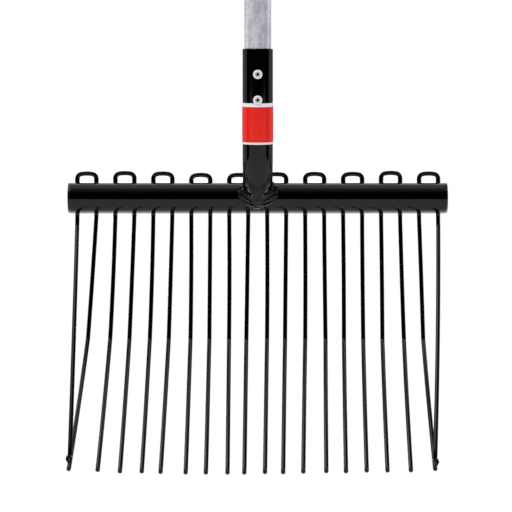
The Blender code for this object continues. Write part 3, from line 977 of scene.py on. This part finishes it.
@dataclass(frozen=True)
class HandleSizes:
    """The handle's axis: a straight neck off the tube, a bend and a leaning straight."""

    shaft_radius: float = 14.0 * MM
    shaft_wall: float = 1.5 * MM
    shaft_length: float = 1150.0 * MM
    shaft_foot: float = 5.6 * MM
    fit: float = 0.3 * MM
    seat_gap: float = 0.3 * MM
    socket_wall: float = 1.7 * MM
    socket_straight: float = 113.6 * MM
    upper_rivet: float = 26.4 * MM
    lower_rivet: float = 53.0 * MM
    neck_clear: float = 4.0 * MM
    neck_radius: float = 45.0 * MM
    neck_lean: float = math.radians(46.0)
    lean: float = math.radians(6.5)

    @property
    def shaft_bore(self) -> float:
        """The handle tube's inner radius."""
        return self.shaft_radius - self.shaft_wall

    @property
    def socket_bore(self) -> float:
        """The socket's inner radius."""
        return self.shaft_radius + self.fit

    @property
    def socket_radius(self) -> float:
        """The socket's outer radius."""
        return self.socket_bore + self.socket_wall

    @property
    def shaft_top(self) -> float:
        """The shaft's upper end, up the axis from the end of the bend."""
        return self.shaft_foot + self.shaft_length

    @staticmethod
    def up(lean: float) -> Vector:
        """Unit vector up the handle at a lean towards the front."""
        return Vector((0.0, -math.sin(lean), math.cos(lean)))

    def axis(self, neck_length: float, steps: int) -> list[tuple[Vector, float]]:
        """Follow the bend from the neck's top to the straight.

        Args:
            neck_length: Length of the neck from the cross tube's axis.
            steps: Stretches in the bend.

        Returns:
            The centre line, as (point, lean).
        """
        turn = self.neck_lean - self.lean
        chord = 2 * self.neck_radius * math.sin(turn / steps / 2)
        point = self.up(self.neck_lean) * neck_length
        line = [(point.copy(), self.neck_lean)]
        for step in range(steps):
            point = point + self.up(self.neck_lean - turn * (step + 0.5) / steps) * chord
            line.append((point.copy(), self.neck_lean - turn * (step + 1) / steps))
        return line

    def frame(self, neck_length: float) -> Matrix:
        """The straight handle's own frame: Z up its axis, origin at the end of the bend."""
        base = self.axis(neck_length, steps=6)[-1][0]
        return Matrix.Translation(base) @ Matrix.Rotation(self.lean, 4, 'X')


@dataclass
class Socket:
    """The bent socket, coped to the cross tube, with a softened rim.

    Where the bend is flattened, its two front corners stand out.
    """

    head: HeadSizes
    handle: HandleSizes
    coat: Material
    sides: int = 96
    bend_steps: int = 24
    rim_edge: float = 0.5 * MM
    rim_arc: Pair = (math.radians(15.0), math.radians(165.0))
    support: float = 2.0 * MM
    swell: float = 1.3 * MM
    swell_start: float = 0.5
    swell_rise: float = 3.0
    swell_fade: int = 10

    @property
    def neck_length(self) -> float:
        """Length of the straight neck from the cross tube's axis."""
        return self.head.tube_radius + self.handle.neck_clear

    def ring(self, centre: Vector, lean: float, radius: float, swell: float = 0.0) -> Ring:
        """Lay one ring round the handle's axis.

        Args:
            centre: The ring's middle.
            lean: The axis's lean towards the front there.
            radius: The ring's radius.
            swell: How far the two front corners stand out.

        Returns:
            The ring's points.
        """
        front = Vector((0.0, -math.cos(lean), -math.sin(lean)))
        across = Vector((1.0, 0.0, 0.0))
        points = []
        for angle in turns(self.sides):
            corner = min(max(min(angle, 2 * math.pi - angle) * 4 / math.pi - 1.0, 0.0), 1.0)
            ahead = math.cos(angle) * radius + swell * math.sin(math.pi * corner) ** 2
            points.append(centre + front * ahead + across * math.sin(angle) * radius)
        return points

    def cope(self, point: Vector) -> Vector:
        """A point of the neck's outline moved up the neck to the cross tube's surface."""
        reach = self.head.tube_radius ** 2 - (point.y ** 2 + point.z ** 2)
        return point + self.handle.up(self.handle.neck_lean) * math.sqrt(max(reach, 0.0))

    def wall(self, radius: float, top: float, swell: float = 0.0) -> list[Ring]:
        """Lay rings up one face of the wall, from the cope to a height on the straight.

        Args:
            radius: The face's radius.
            top: The last ring's height on the straight.
            swell: How far the bend's front corners stand out.

        Returns:
            The rings.
        """
        foot = self.ring(Vector(), self.handle.neck_lean, radius)
        rings = [[self.cope(point) for point in foot]]
        line = self.handle.axis(self.neck_length, self.bend_steps)
        for index, (point, lean) in enumerate(line):
            fade = min((self.bend_steps - index) / self.swell_fade, 1.0)
            share = min(self.swell_start + self.swell_rise * index / self.bend_steps,
                        math.sin(QUARTER * fade) ** 2)
            rings.append(self.ring(point, lean, radius, swell * share))
        base, lean = line[-1]
        for height in (self.support, top - self.support, top):
            rings.append(self.ring(base + self.handle.up(lean) * height, lean, radius))
        return rings

    def build(self) -> None:
        """Make the socket."""
        handle, edge = self.handle, self.rim_edge
        top = handle.socket_straight - edge
        base, lean = handle.axis(self.neck_length, self.bend_steps)[-1]
        middle = (handle.socket_radius + handle.socket_bore) / 2
        rings = self.wall(handle.socket_radius, top, self.swell)
        for radius, height in arc((middle, top), handle.socket_wall / 2, edge, *self.rim_arc, steps=8):
            rings.append(self.ring(base + handle.up(lean) * height, lean, radius))
        rings += self.wall(handle.socket_bore, top)[::-1]
        shape = Shape()
        shape.skin(rings, joined=True)
        shape.piece("socket_coated", self.coat, ["socket"])


@dataclass
class SocketWeld:
    """The fillet weld round the socket's foot, laid in short overlapping strokes.

    It is broad in front and thins out round the sides. Its legs are given by the angle
    round the neck from the front, in degrees. A stroke is its middle's angle and place
    across the weld from the neck (0) to the tube (1), its half length in degrees, its
    half width as a share of the weld, its height in millimetres and how far its far end
    drops across the weld.
    """

    head: HeadSizes
    handle: HandleSizes
    coat: Material
    neck_legs: Outline = ((0.0, 8.0), (15.0, 8.0), (30.0, 8.5), (55.0, 7.5), (75.0, 4.5),
                          (100.0, 3.2), (180.0, 3.4))
    tube_legs: Outline = ((0.0, 5.4), (20.0, 6.2), (40.0, 7.4), (60.0, 8.0), (70.0, 7.0),
                          (80.0, 5.2), (92.0, 2.6), (104.0, 1.9), (125.0, 2.8), (180.0, 3.6))
    strokes: tuple[tuple[float, ...], ...] = (
        (-40.0, 0.45, 27.0, 0.11, 1.7, -0.10), (38.0, 0.45, 27.0, 0.11, 1.7, 0.10),
        (-19.0, 0.70, 15.0, 0.11, 1.6, -0.04), (23.0, 0.74, 16.0, 0.11, 1.6, 0.12),
        (-5.0, 0.86, 14.0, 0.12, 0.8, 0.0), (-35.0, 0.90, 12.0, 0.09, 0.9, 0.03),
        (-50.0, 0.20, 18.0, 0.09, 0.9, -0.08), (50.0, 0.20, 18.0, 0.09, 0.9, 0.08),
        (-48.0, 0.68, 17.0, 0.12, 1.0, 0.05), (50.0, 0.66, 16.0, 0.12, 1.1, 0.04),
        (44.0, 0.86, 13.0, 0.12, 0.9, -0.03), (-60.0, 0.84, 14.0, 0.13, 0.9, 0.0),
        (60.0, 0.84, 12.0, 0.13, 1.0, 0.0), (-66.0, 0.10, 20.0, 0.10, 0.8, -0.04),
        (64.0, 0.10, 19.0, 0.10, 0.8, 0.04), (2.0, 0.16, 12.0, 0.12, 0.5, 0.0),
        (-78.0, 0.42, 13.0, 0.16, 1.7, 0.10), (74.0, 0.38, 12.0, 0.17, 1.8, -0.12),
        (-88.0, 0.76, 11.0, 0.15, 1.5, -0.10), (88.0, 0.72, 12.0, 0.17, 1.7, 0.10),
        (-104.0, 0.44, 18.0, 0.34, 0.9, 0.0), (104.0, 0.46, 17.0, 0.34, 1.1, 0.0),
        (-132.0, 0.50, 20.0, 0.36, 0.8, 0.0), (130.0, 0.48, 20.0, 0.36, 0.8, 0.0),
        (-160.0, 0.50, 18.0, 0.36, 0.8, 0.0), (158.0, 0.52, 19.0, 0.36, 0.8, 0.0),
        (180.0, 0.48, 14.0, 0.34, 0.7, 0.0))
    right_spread: float = 0.10
    wander_depth: float = 0.08
    wander_waves: float = 1.9
    crown: float = 1.1 * MM
    full_width: float = 11.0 * MM
    narrow_gain: float = 1.4
    roundness: float = 0.6
    upper_share: float = 0.55
    lower_share: float = 1.15
    ripple_pitch: float = 7.5
    ripple_bow: float = 14.0
    ripple_depth: float = 0.10 * MM
    grain_waves: float = 210.0
    grain_depth: float = 0.22 * MM
    sunk: float = 0.45 * MM
    root: float = 1.2 * MM
    steps: int = 432
    sides: int = 60

    @staticmethod
    def leg(stops: Outline, angle: float) -> float:
        """Look up a leg's length at an angle round the neck.

        Args:
            stops: Its (degrees, millimetres) stops.
            angle: The angle.

        Returns:
            The length.
        """
        turn = abs(math.degrees(angle)) % 360.0
        turn = min(turn, 360.0 - turn)
        for (low, first), (high, second) in zip(stops, stops[1:]):
            if turn <= high:
                share = (turn - low) / (high - low)
                share = share * share * (3.0 - 2.0 * share)
                return (first + (second - first) * share) * MM
        return stops[-1][1] * MM

    def wander(self, angle: float, seed: float) -> float:
        """A weld leg's uneven reach at an angle round the neck, wider on the right."""
        where = Vector((math.cos(angle), math.sin(angle), seed)) * self.wander_waves
        return 1.0 + self.wander_depth * noise.noise(where) + self.right_spread * math.sin(angle)

    def corner(self, angle: float) -> tuple[Vector, Vector, Vector, Vector]:
        """Find where the neck meets the tube, round the neck from its front.

        Args:
            angle: The angle round the neck.

        Returns:
            The point, the direction up the neck, the direction out of the neck and the
            direction out of the tube.
        """
        up = self.handle.up(self.handle.neck_lean)
        front = Vector((0.0, -up.z, up.y))
        off_neck = front * math.cos(angle) + Vector((1.0, 0.0, 0.0)) * math.sin(angle)
        forward = self.handle.socket_radius * math.cos(angle)
        height = math.sqrt(max(self.head.tube_radius ** 2 - forward ** 2, 0.0))
        point = off_neck * self.handle.socket_radius + up * height
        off_tube = Vector((0.0, point.y, point.z)).normalized()
        return point, up, off_neck, off_tube

    def stroke_height(self, angle: float, share: float) -> float:
        """How high the strokes stand at a place on the weld.

        Args:
            angle: The angle round the neck.
            share: The place across the weld, from the neck to the tube.

        Returns:
            The height of the highest stroke there.
        """
        turn = math.degrees(angle)
        best = 0.0
        for middle, place, half_length, half_width, height, drop in self.strokes:
            along = ((turn - middle + 180.0) % 360.0 - 180.0) / half_length
            across = share - place - drop * along
            across /= half_width * (self.upper_share if across < 0 else self.lower_share)
            left = 1.0 - along * along - across * across
            if left > 0.0:
                phase = (turn + self.ripple_bow * across * across) / self.ripple_pitch
                ripple = self.ripple_depth * math.cos(2 * math.pi * phase)
                best = max(best, height * MM * left ** self.roundness + ripple * left)
        return best

    def section(self, angle: float) -> Ring:
        """Cut through the weld, from the neck over the strokes to the tube and the root.

        Args:
            angle: The angle round the neck.

        Returns:
            The cut's points.
        """
        point, up, off_neck, off_tube = self.corner(angle)
        neck_leg = self.leg(self.neck_legs, angle) * self.wander(angle, seed=1.0)
        tube_leg = self.leg(self.tube_legs, angle) * self.wander(angle, seed=2.0)
        upper = point + up * neck_leg - off_neck * self.sunk
        along_tube = (off_neck - off_tube * off_neck.dot(off_tube)).normalized()
        lower = point + along_tube * tube_leg
        ground = Vector((0.0, lower.y, lower.z)).normalized() * (self.head.tube_radius - self.sunk)
        chord = Vector((lower.x, ground.y, ground.z)) - upper
        out = (off_neck + off_tube).normalized()
        out = (out - chord * out.dot(chord) / chord.length_squared).normalized()
        scale = min(1.0, chord.length / self.full_width)
        ring = []
        for step in range(self.sides):
            share = step / (self.sides - 1)
            bulge = self.crown * scale * 4 * share * (1 - share)
            bulge += self.stroke_height(angle, share) * min(1.0, self.narrow_gain * scale)
            bulge += noise.noise((upper + chord * share) * self.grain_waves) * self.grain_depth
            ring.append(upper + chord * share + out * bulge)
        ring.append(point - (off_neck + off_tube) * self.root)
        return ring

    def build(self) -> None:
        """Make the weld."""
        shape = Shape()
        shape.skin([self.section(angle) for angle in turns(self.steps)], joined=True)
        shape.piece("neck_weld", self.coat, ["socket_weld"], smooth_angle=80.0)


@dataclass
class Shaft:
    """The aluminium handle tube."""

    handle: HandleSizes
    aluminium: Material
    place: Matrix
    sides: int = 96

    def build(self) -> None:
        """Make the tube."""
        radius, bore = self.handle.shaft_radius, self.handle.shaft_bore
        foot, top = self.handle.shaft_foot, self.handle.shaft_top
        shape = Shape()
        shape.turn([(bore, foot), (radius, foot), (radius, top), (bore, top), (bore, foot)],
                   self.sides)
        made = shape.piece("shaft_drawn", self.aluminium, ["handle_shaft"])
        made.matrix_world = self.place


@dataclass
class BlindRivet:
    """A blind rivet: domed head with a hollow, a broken mandrel inside, a bulb behind.

    The mandrel's face is given as shares of the bore and heights over its floor, the
    head's as shares of the way from the bore to the rim and heights under its top: a
    raised ring, a groove, a broad ring and the rim. Heights are in millimetres.
    """

    handle: HandleSizes
    metal: Material
    place: Matrix
    label: str
    drop: float
    body: float = 2.4 * MM
    overhang: float = 2.4 * MM
    height: float = 1.5 * MM
    undercut: float = 0.10 * MM
    bulb_flare: float = 1.3 * MM
    bulb_half: float = 2.6 * MM
    bore_share: float = 0.60
    bore_depth: float = 3.6 * MM
    mandrel: Outline = ((0.0, 0.5), (0.4, 0.45), (0.8, 0.3), (0.8, 0.0), (1.0, 0.0))
    lip: float = 0.25 * MM
    face: Outline = (
        (0.05, -0.08), (0.12, -0.02), (0.22, 0.00), (0.30, -0.06), (0.36, -0.22),
        (0.40, -0.28), (0.44, -0.22), (0.49, -0.02), (0.56, 0.08), (0.66, 0.10),
        (0.77, 0.03), (0.86, -0.14), (0.93, -0.42), (0.98, -0.85), (1.0, -1.25))
    sides: int = 64

    def build(self) -> None:
        """Make the rivet."""
        handle, height = self.handle, self.height
        bore, floor = self.body * self.bore_share, height - self.bore_depth
        bulb = self.body + self.bulb_flare
        hollow = handle.shaft_bore - math.sqrt(handle.shaft_bore ** 2 - bulb ** 2)
        grip = (handle.socket_wall + handle.fit + handle.shaft_wall + hollow
                + 2 * handle.seat_gap)
        swell = math.acos(self.body / bulb)
        middle = -grip - self.bulb_half * math.sin(swell)
        head = self.body + self.overhang
        outline = [(bore * share, floor + rise * MM) for share, rise in self.mandrel]
        outline += [(bore, height - self.lip)]
        outline += [(bore + (head - bore) * share, height + rise * MM)
                    for share, rise in self.face]
        outline += [(head - self.undercut, 0.0), (self.body, 0.0)]
        outline += arc((0.0, middle), bulb, self.bulb_half, swell, -QUARTER, steps=12)
        shape = Shape()
        shape.turn(outline, self.sides)
        made = shape.piece(f"rivet_head_{self.label}", self.metal,
                           [f"rivet_{self.label}"])
        seat = Matrix.Translation((0.0, -(handle.socket_radius + handle.seat_gap),
                                   handle.socket_straight - self.drop))
        made.matrix_world = self.place @ seat @ Matrix.Rotation(QUARTER, 4, 'X')


@dataclass
class Label:
    """The printed film round the socket: a red field between two white edges.

    Its rows are counted in the lower edge, the field and the upper edge.
    """

    handle: HandleSizes
    white: Material
    red: Material
    place: Matrix
    drop: float = 56.4 * MM
    foot: float = 14.3 * MM
    glue: float = 0.05 * MM
    thickness: float = 0.3 * MM
    seam: float = 4.0 * MM
    upper_edge: float = 3.9 * MM
    lower_edge: float = 2.2 * MM
    rivet_room: float = 5.1 * MM
    columns: int = 180
    rows: tuple[int, int, int] = (4, 90, 6)

    def build(self) -> None:
        """Make the film."""
        top, low = self.handle.socket_straight - self.drop, self.foot
        marks = [low, low + self.lower_edge, top - self.upper_edge, top]
        heights = [start + (end - start) * step / count
                   for start, end, count in zip(marks, marks[1:], self.rows)
                   for step in range(count)] + [top]
        outer = self.handle.socket_radius + self.glue + self.thickness
        gap = self.seam / 2 / outer
        shape = Shape()
        grid = []
        for step in range(self.columns + 1):
            angle = QUARTER + gap + (2 * math.pi - 2 * gap) * step / self.columns
            grid.append(self.column(shape.bm, outer, heights, angle))
        for first, second in zip(grid, grid[1:]):
            for row, (start, end) in enumerate(zip(heights, heights[1:])):
                face = shape.bm.faces.new((first[row], second[row],
                                           second[row + 1], first[row + 1]))
                printed = marks[1] < (start + end) / 2 < marks[2]
                face.material_index = 1 if printed else 0
        bmesh.ops.recalc_face_normals(shape.bm, faces=shape.bm.faces)
        bmesh.ops.solidify(shape.bm, geom=shape.bm.faces, thickness=self.thickness)
        made = shape.piece("label_film", self.white, ["label_band"])
        made.data.materials.append(self.red)
        made.matrix_world = self.place

    def column(self, bm: bmesh.types.BMesh, radius: float, heights: Sequence[float],
               angle: float) -> list[bmesh.types.BMVert]:
        """Make one upright column of points, drawn down under the lower rivet's head.

        Args:
            bm: The film's mesh.
            radius: The film's outer radius.
            heights: Heights of its rows.
            angle: The column's place round the socket.

        Returns:
            The points, from the foot up.
        """
        x, y = radius * math.cos(angle), radius * math.sin(angle)
        limit = heights[-1]
        if y < 0 and abs(x) < self.rivet_room:
            rivet = self.handle.socket_straight - self.handle.lower_rivet
            limit = rivet - math.sqrt(self.rivet_room ** 2 - x * x)
        return [bm.verts.new((x, y, min(height, limit))) for height in heights]


@dataclass
class Grip:
    """The grooved sleeve over the shaft's top."""

    handle: HandleSizes
    rubber: Material
    place: Matrix
    length: float = 130.0 * MM
    wall: float = 2.4 * MM
    end: float = 5.0 * MM
    edge: float = 5.0 * MM
    lip: float = 0.6 * MM
    cuff: float = 10.0 * MM
    plain_end: float = 30.0 * MM
    groove_width: float = 6.0 * MM
    groove_depth: float = 0.8 * MM
    grooves: int = 5
    groove_steps: int = 12
    sides: int = 96

    def build(self) -> None:
        """Make the grip."""
        lip, edge = self.lip, self.edge
        bore = self.handle.shaft_radius + self.handle.fit
        outer = bore + self.wall
        seat = self.handle.shaft_top + self.handle.seat_gap
        low, top = seat - self.length, seat + self.end
        outline = [(0.0, seat), (bore, seat), (bore, low)]
        outline += arc((outer - lip, low + lip), lip, lip, -QUARTER, 0.0, steps=5)
        pitch = (self.length - self.cuff - self.plain_end) / self.grooves
        for groove in range(self.grooves):
            start = low + self.cuff + pitch * groove
            for step in range(self.groove_steps + 1):
                share = step / self.groove_steps
                dip = self.groove_depth * math.sin(math.pi * share) ** 2
                outline.append((outer - dip, start + self.groove_width * share))
        outline += arc((outer - edge, top - edge), edge, edge, 0.0, QUARTER, steps=10)
        outline.append((0.0, top))
        shape = Shape()
        shape.turn(outline, self.sides)
        made = shape.piece("grip_sleeve", self.rubber, ["end_grip"])
        made.matrix_world = self.place


# The studio


@dataclass(frozen=True)
class PaleFloor(Finish):
    """Matt pale floor that keeps the fork's shadow and has no visible rim."""

    name: str = "pale_floor"
    tone: float = 0.72
    mottle: Grain = Grain(3.0, 4.0)
    mottle_gain: float = 1.03
    roughness: float = 0.9
    lift: float = 0.27
    glow: float = 2.6
    glow_start: Pair = (-0.02, 0.42)
    glow_side: Pair = (1.15, 0.85)
    rim: Pair = (0.5, 2.2)

    def inputs(self, nodes: Nodes) -> Inputs:
        """A faint mottle, and to gloss the room's tint and a glow behind the fork.

        Args:
            nodes: The material's nodes.

        Returns:
            What the shader's inputs take.
        """
        mottle, gloss = nodes.grain(self.mottle), nodes.ray("Glossy")
        tones = (self.tone, self.tone * self.mottle_gain)
        plain = nodes.mix(mottle, *[grey(tone) for tone in tones])
        tinted = nodes.mix(mottle, *[scaled(ROOM_TINT, tone) for tone in tones])
        x, y, _ = nodes.parts(nodes.place())
        lit = nodes.times(nodes.between(y, *self.glow_start),
                          nodes.between(nodes.math("ABSOLUTE", x), *self.glow_side))
        glow = nodes.math("ADD", nodes.times(lit, self.glow), self.lift)
        return {"Base Color": nodes.mix(gloss, plain, tinted), "Roughness": self.roughness,
                "Specular IOR Level": 0.0, "Emission Color": ROOM_TINT,
                "Emission Strength": nodes.times(glow, gloss)}

    def surface(self, nodes: Nodes, shader: bpy.types.Node) -> Output:
        """Fade the floor to the white background towards its rim, to the camera.

        Args:
            nodes: The material's nodes.
            shader: The floor's shader.

        Returns:
            What the floor shows.
        """
        x, y, _ = nodes.parts(nodes.place())
        far = nodes.times(nodes.between(nodes.reach(x, y), *self.rim), nodes.ray("Camera"))
        white = nodes.add("ShaderNodeEmission").outputs[0]
        inputs = {0: far, 1: shader.outputs["BSDF"], 2: white}
        return nodes.add("ShaderNodeMixShader", inputs).outputs[0]


@dataclass
class Studio:
    """A pale floor, soft light all round, a soft box on the left, a white background.

    Gloss sees a bright ceiling with two long soft panels bent over the fork, a white
    roll of paper behind it, dim walls beside the paper and a dark front. The left panel
    reaches back from overhead, the right one hangs further forward.
    """

    floor_level: float = -0.60
    floor_reach: Pair = (-3.85, 2.40)
    floor_half: float = 5.2
    ambient: Pair = (0.86, 1.14)
    ambient_edge: Pair = (-0.15, 0.45)
    room_peak: float = 5.0
    room_gain: float = 1.62
    ceiling: Outline = ((0.0, 0.0), (0.42, 0.002), (0.50, 0.08), (0.59, 0.11), (0.68, 0.20),
                        (0.78, 0.34), (0.88, 0.62), (1.0, 0.66))
    left_panel: Outline = (
        (0.0, 0.0), (0.18, 0.0), (0.25, 0.75), (0.30, 1.0), (0.36, 2.2), (0.42, 2.2),
        (0.46, 1.4), (0.50, 0.26), (0.55, 0.24), (0.62, 0.70), (0.67, 1.10), (0.72, 1.60),
        (0.79, 2.20), (0.86, 1.20), (1.0, 0.70))
    right_panel: Outline = (
        (0.0, 0.0), (0.38, 0.02), (0.44, 0.60), (0.49, 1.30), (0.56, 1.25), (0.61, 0.80),
        (0.66, 0.35), (0.71, 0.08), (0.78, 0.01), (1.0, 0.05))
    panel_bend: float = 0.35
    panel_start: Pair = (0.12, 0.20)
    panel_join: Pair = (-0.16, 0.16)
    panel_foot: Pair = (0.30, 0.50)
    horizon: float = 0.05
    paper: Outline = ((0.0, 0.0), (0.10, 0.25), (0.30, 0.85), (0.56, 1.4), (0.80, 2.0), (1.0, 2.4))
    paper_side: Pair = (0.24, 0.11)
    walls: Outline = ((0.0, 0.0), (0.03, 0.28), (0.10, 0.42), (0.30, 0.40), (0.62, 0.25),
                      (1.0, 0.20))
    wall_top: Pair = (0.62, 0.42)
    wall_back: Pair = (0.18, 0.34)
    box_place: tuple[float, float, float] = (-1.26, -0.88, 1.47)
    box_aim: tuple[float, float, float] = (0.0, -0.05, -0.05)
    box_size: float = 0.80
    box_power: float = 8.0
    camera_place: tuple[float, float, float] = (-0.0018, -2.5, -0.0611)
    camera_clip: Pair = (0.01, 100.0)
    focal_px: float = 2365.2
    picture_px: float = 512.0
    sensor_mm: float = 36.0

    def build(self) -> None:
        """Make the world, the lamp, the floor and the camera."""
        self.make_world()
        self.make_box()
        self.make_floor()
        self.make_camera()

    def make_world(self) -> None:
        """Make a world that is white to the camera, even to matt and a studio to gloss."""
        world = bpy.data.worlds.new("studio_room")
        bpy.context.scene.world = world
        world.use_nodes = True
        nodes = Nodes(world.node_tree)
        share = nodes.times(self.room_gloss(nodes), self.room_gain / self.room_peak)
        gloss = nodes.mix(share, grey(0.0), scaled(ROOM_TINT, self.room_peak))
        unseen = nodes.mix(nodes.ray("Glossy"), self.room_matt(nodes), gloss)
        seen = nodes.math("MAXIMUM", nodes.ray("Camera"), nodes.ray("Transmission"))
        room = nodes.add("ShaderNodeBackground", {"Color": nodes.mix(seen, unseen, grey(1.0))})
        nodes.add("ShaderNodeOutputWorld", {"Surface": room.outputs[0]})

    def room_matt(self, nodes: Nodes) -> Output:
        """The room's brightness for matt surfaces: a little more from behind."""
        front, back = self.ambient
        return nodes.mix(nodes.between(nodes.aim()[1], *self.ambient_edge), grey(front), grey(back))

    def room_gloss(self, nodes: Nodes) -> Output:
        """Set out the room's brightness by direction, for gloss.

        Args:
            nodes: The world's nodes.

        Returns:
            The room's brightness.
        """
        x, y, z = nodes.aim()
        aside = nodes.math("ABSOLUTE", x)
        lift = nodes.math("DIVIDE", nodes.math("ARCSINE", z), QUARTER)
        above = nodes.fade(nodes.between(aside, *self.panel_start),
                           nodes.ramp(lift, self.ceiling), self.panels(nodes, x, y, z))
        paper = nodes.times(nodes.ramp(y, self.paper), nodes.between(aside, *self.paper_side))
        behind = nodes.math("MAXIMUM", paper, nodes.ramp(y, self.walls))
        shown = nodes.math("MAXIMUM", nodes.between(z, *self.wall_top),
                           nodes.between(y, *self.wall_back))
        return nodes.math("MAXIMUM", above, nodes.times(behind, shown))

    def panels(self, nodes: Nodes, x: Output, y: Output, z: Output) -> Output:
        """Hang the two panels, as places on a ceiling one metre up.

        Args:
            nodes: The world's nodes.
            x: The direction's part to the right.
            y: Its part to the back.
            z: Its part upwards.

        Returns:
            The panels' brightness.
        """
        height = nodes.math("MAXIMUM", z, self.horizon)
        across, along = [nodes.math("DIVIDE", part, height) for part in (x, y)]
        bent = nodes.times(nodes.math("POWER", across, 2.0), self.panel_bend)
        place = nodes.math("ADD", nodes.math("SUBTRACT", along, bent), 1.0, clamp=True)
        both = nodes.fade(nodes.between(across, *self.panel_join),
                          nodes.ramp(place, self.left_panel), nodes.ramp(place, self.right_panel))
        return nodes.times(both, nodes.between(z, *self.panel_foot))

    def make_box(self) -> None:
        """Hang one soft box, high on the left and a little in front."""
        data = bpy.data.lights.new("soft_box", 'AREA')
        data.shape = 'SQUARE'
        data.size = self.box_size
        data.energy = self.box_power
        lamp = add_object("soft_box", data)
        lamp.location = self.box_place
        lamp.visible_glossy = False
        aim = Vector(self.box_aim) - lamp.location
        lamp.rotation_euler = aim.to_track_quat('-Z', 'Y').to_euler()

    def make_floor(self) -> None:
        """Lay a pale floor well below the tips."""
        bm = bmesh.new()
        half, (front, back) = self.floor_half, self.floor_reach
        corners = ((-half, front), (half, front), (half, back), (-half, back))
        bm.faces.new([bm.verts.new((x, y, self.floor_level)) for x, y in corners])
        mesh = bpy.data.meshes.new("pale_floor")
        bm.to_mesh(mesh)
        bm.free()
        mesh.materials.append(PaleFloor().material())
        floor = add_object("pale_floor", mesh)

    def make_camera(self) -> None:
        """Set the photograph's view: level and straight on, from far in front."""
        data = bpy.data.cameras.new("view")
        data.sensor_width = self.sensor_mm
        data.lens = self.focal_px / self.picture_px * self.sensor_mm
        data.clip_start, data.clip_end = self.camera_clip
        camera = add_object("view", data)
        camera.location = self.camera_place
        camera.rotation_euler = (QUARTER, 0.0, 0.0)
        bpy.context.scene.camera = camera
        bpy.context.scene.view_settings.view_transform = 'Standard'


def build_fork() -> None:
    """Make and dress every piece of the fork, head first."""
    head, handle = HeadSizes(), HandleSizes()
    coat = GlossCoat().material()
    plastic = MouldedBlack("plug_plastic", grey(0.004), roughness=(0.14, 0.32),
                           grain=Grain(700.0, 4.0, 0.6), grain_depth=0.01 * MM).material()
    rubber = MouldedBlack("grip_rubber", grey(0.012), roughness=(0.47, 0.65),
                          grain=Grain(1400.0, 4.0, 0.6), grain_depth=0.06 * MM).material()
    aluminium, metal = DrawnAluminium().material(), RivetMetal().material()
    white = PrintedFilm("label_white", ink=(0.89, 0.87, 0.89, 1.0),
                        worn=(0.80, 0.79, 0.81, 1.0)).material()
    red = PrintedFilm("label_red", ink=(0.84, 0.010, 0.001, 1.0),
                      worn=(0.80, 0.018, 0.005, 1.0)).material()
    tines, socket = Tines(head, coat), Socket(head, handle, coat)
    place = handle.frame(socket.neck_length)
    CrossTube(head, coat).build()
    for side in Side:
        EndPlug(head, plastic, side).build()
    tines.build()
    for side in Side:
        TipWeld(tines, coat, side).build()
    socket.build()
    SocketWeld(head, handle, coat).build()
    Shaft(handle, aluminium, place).build()
    BlindRivet(handle, metal, place, "upper", handle.upper_rivet).build()
    BlindRivet(handle, metal, place, "lower", handle.lower_rivet).build()
    Label(handle, white, red, place).build()
    Grip(handle, rubber, place).build()


def main() -> None:
    """Dress the fork, light it and set the camera."""
    logging.basicConfig(level=logging.INFO, format="%(name)s %(message)s")
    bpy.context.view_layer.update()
    build_fork()
    Studio().build()


if __name__ == "__main__":
    main()
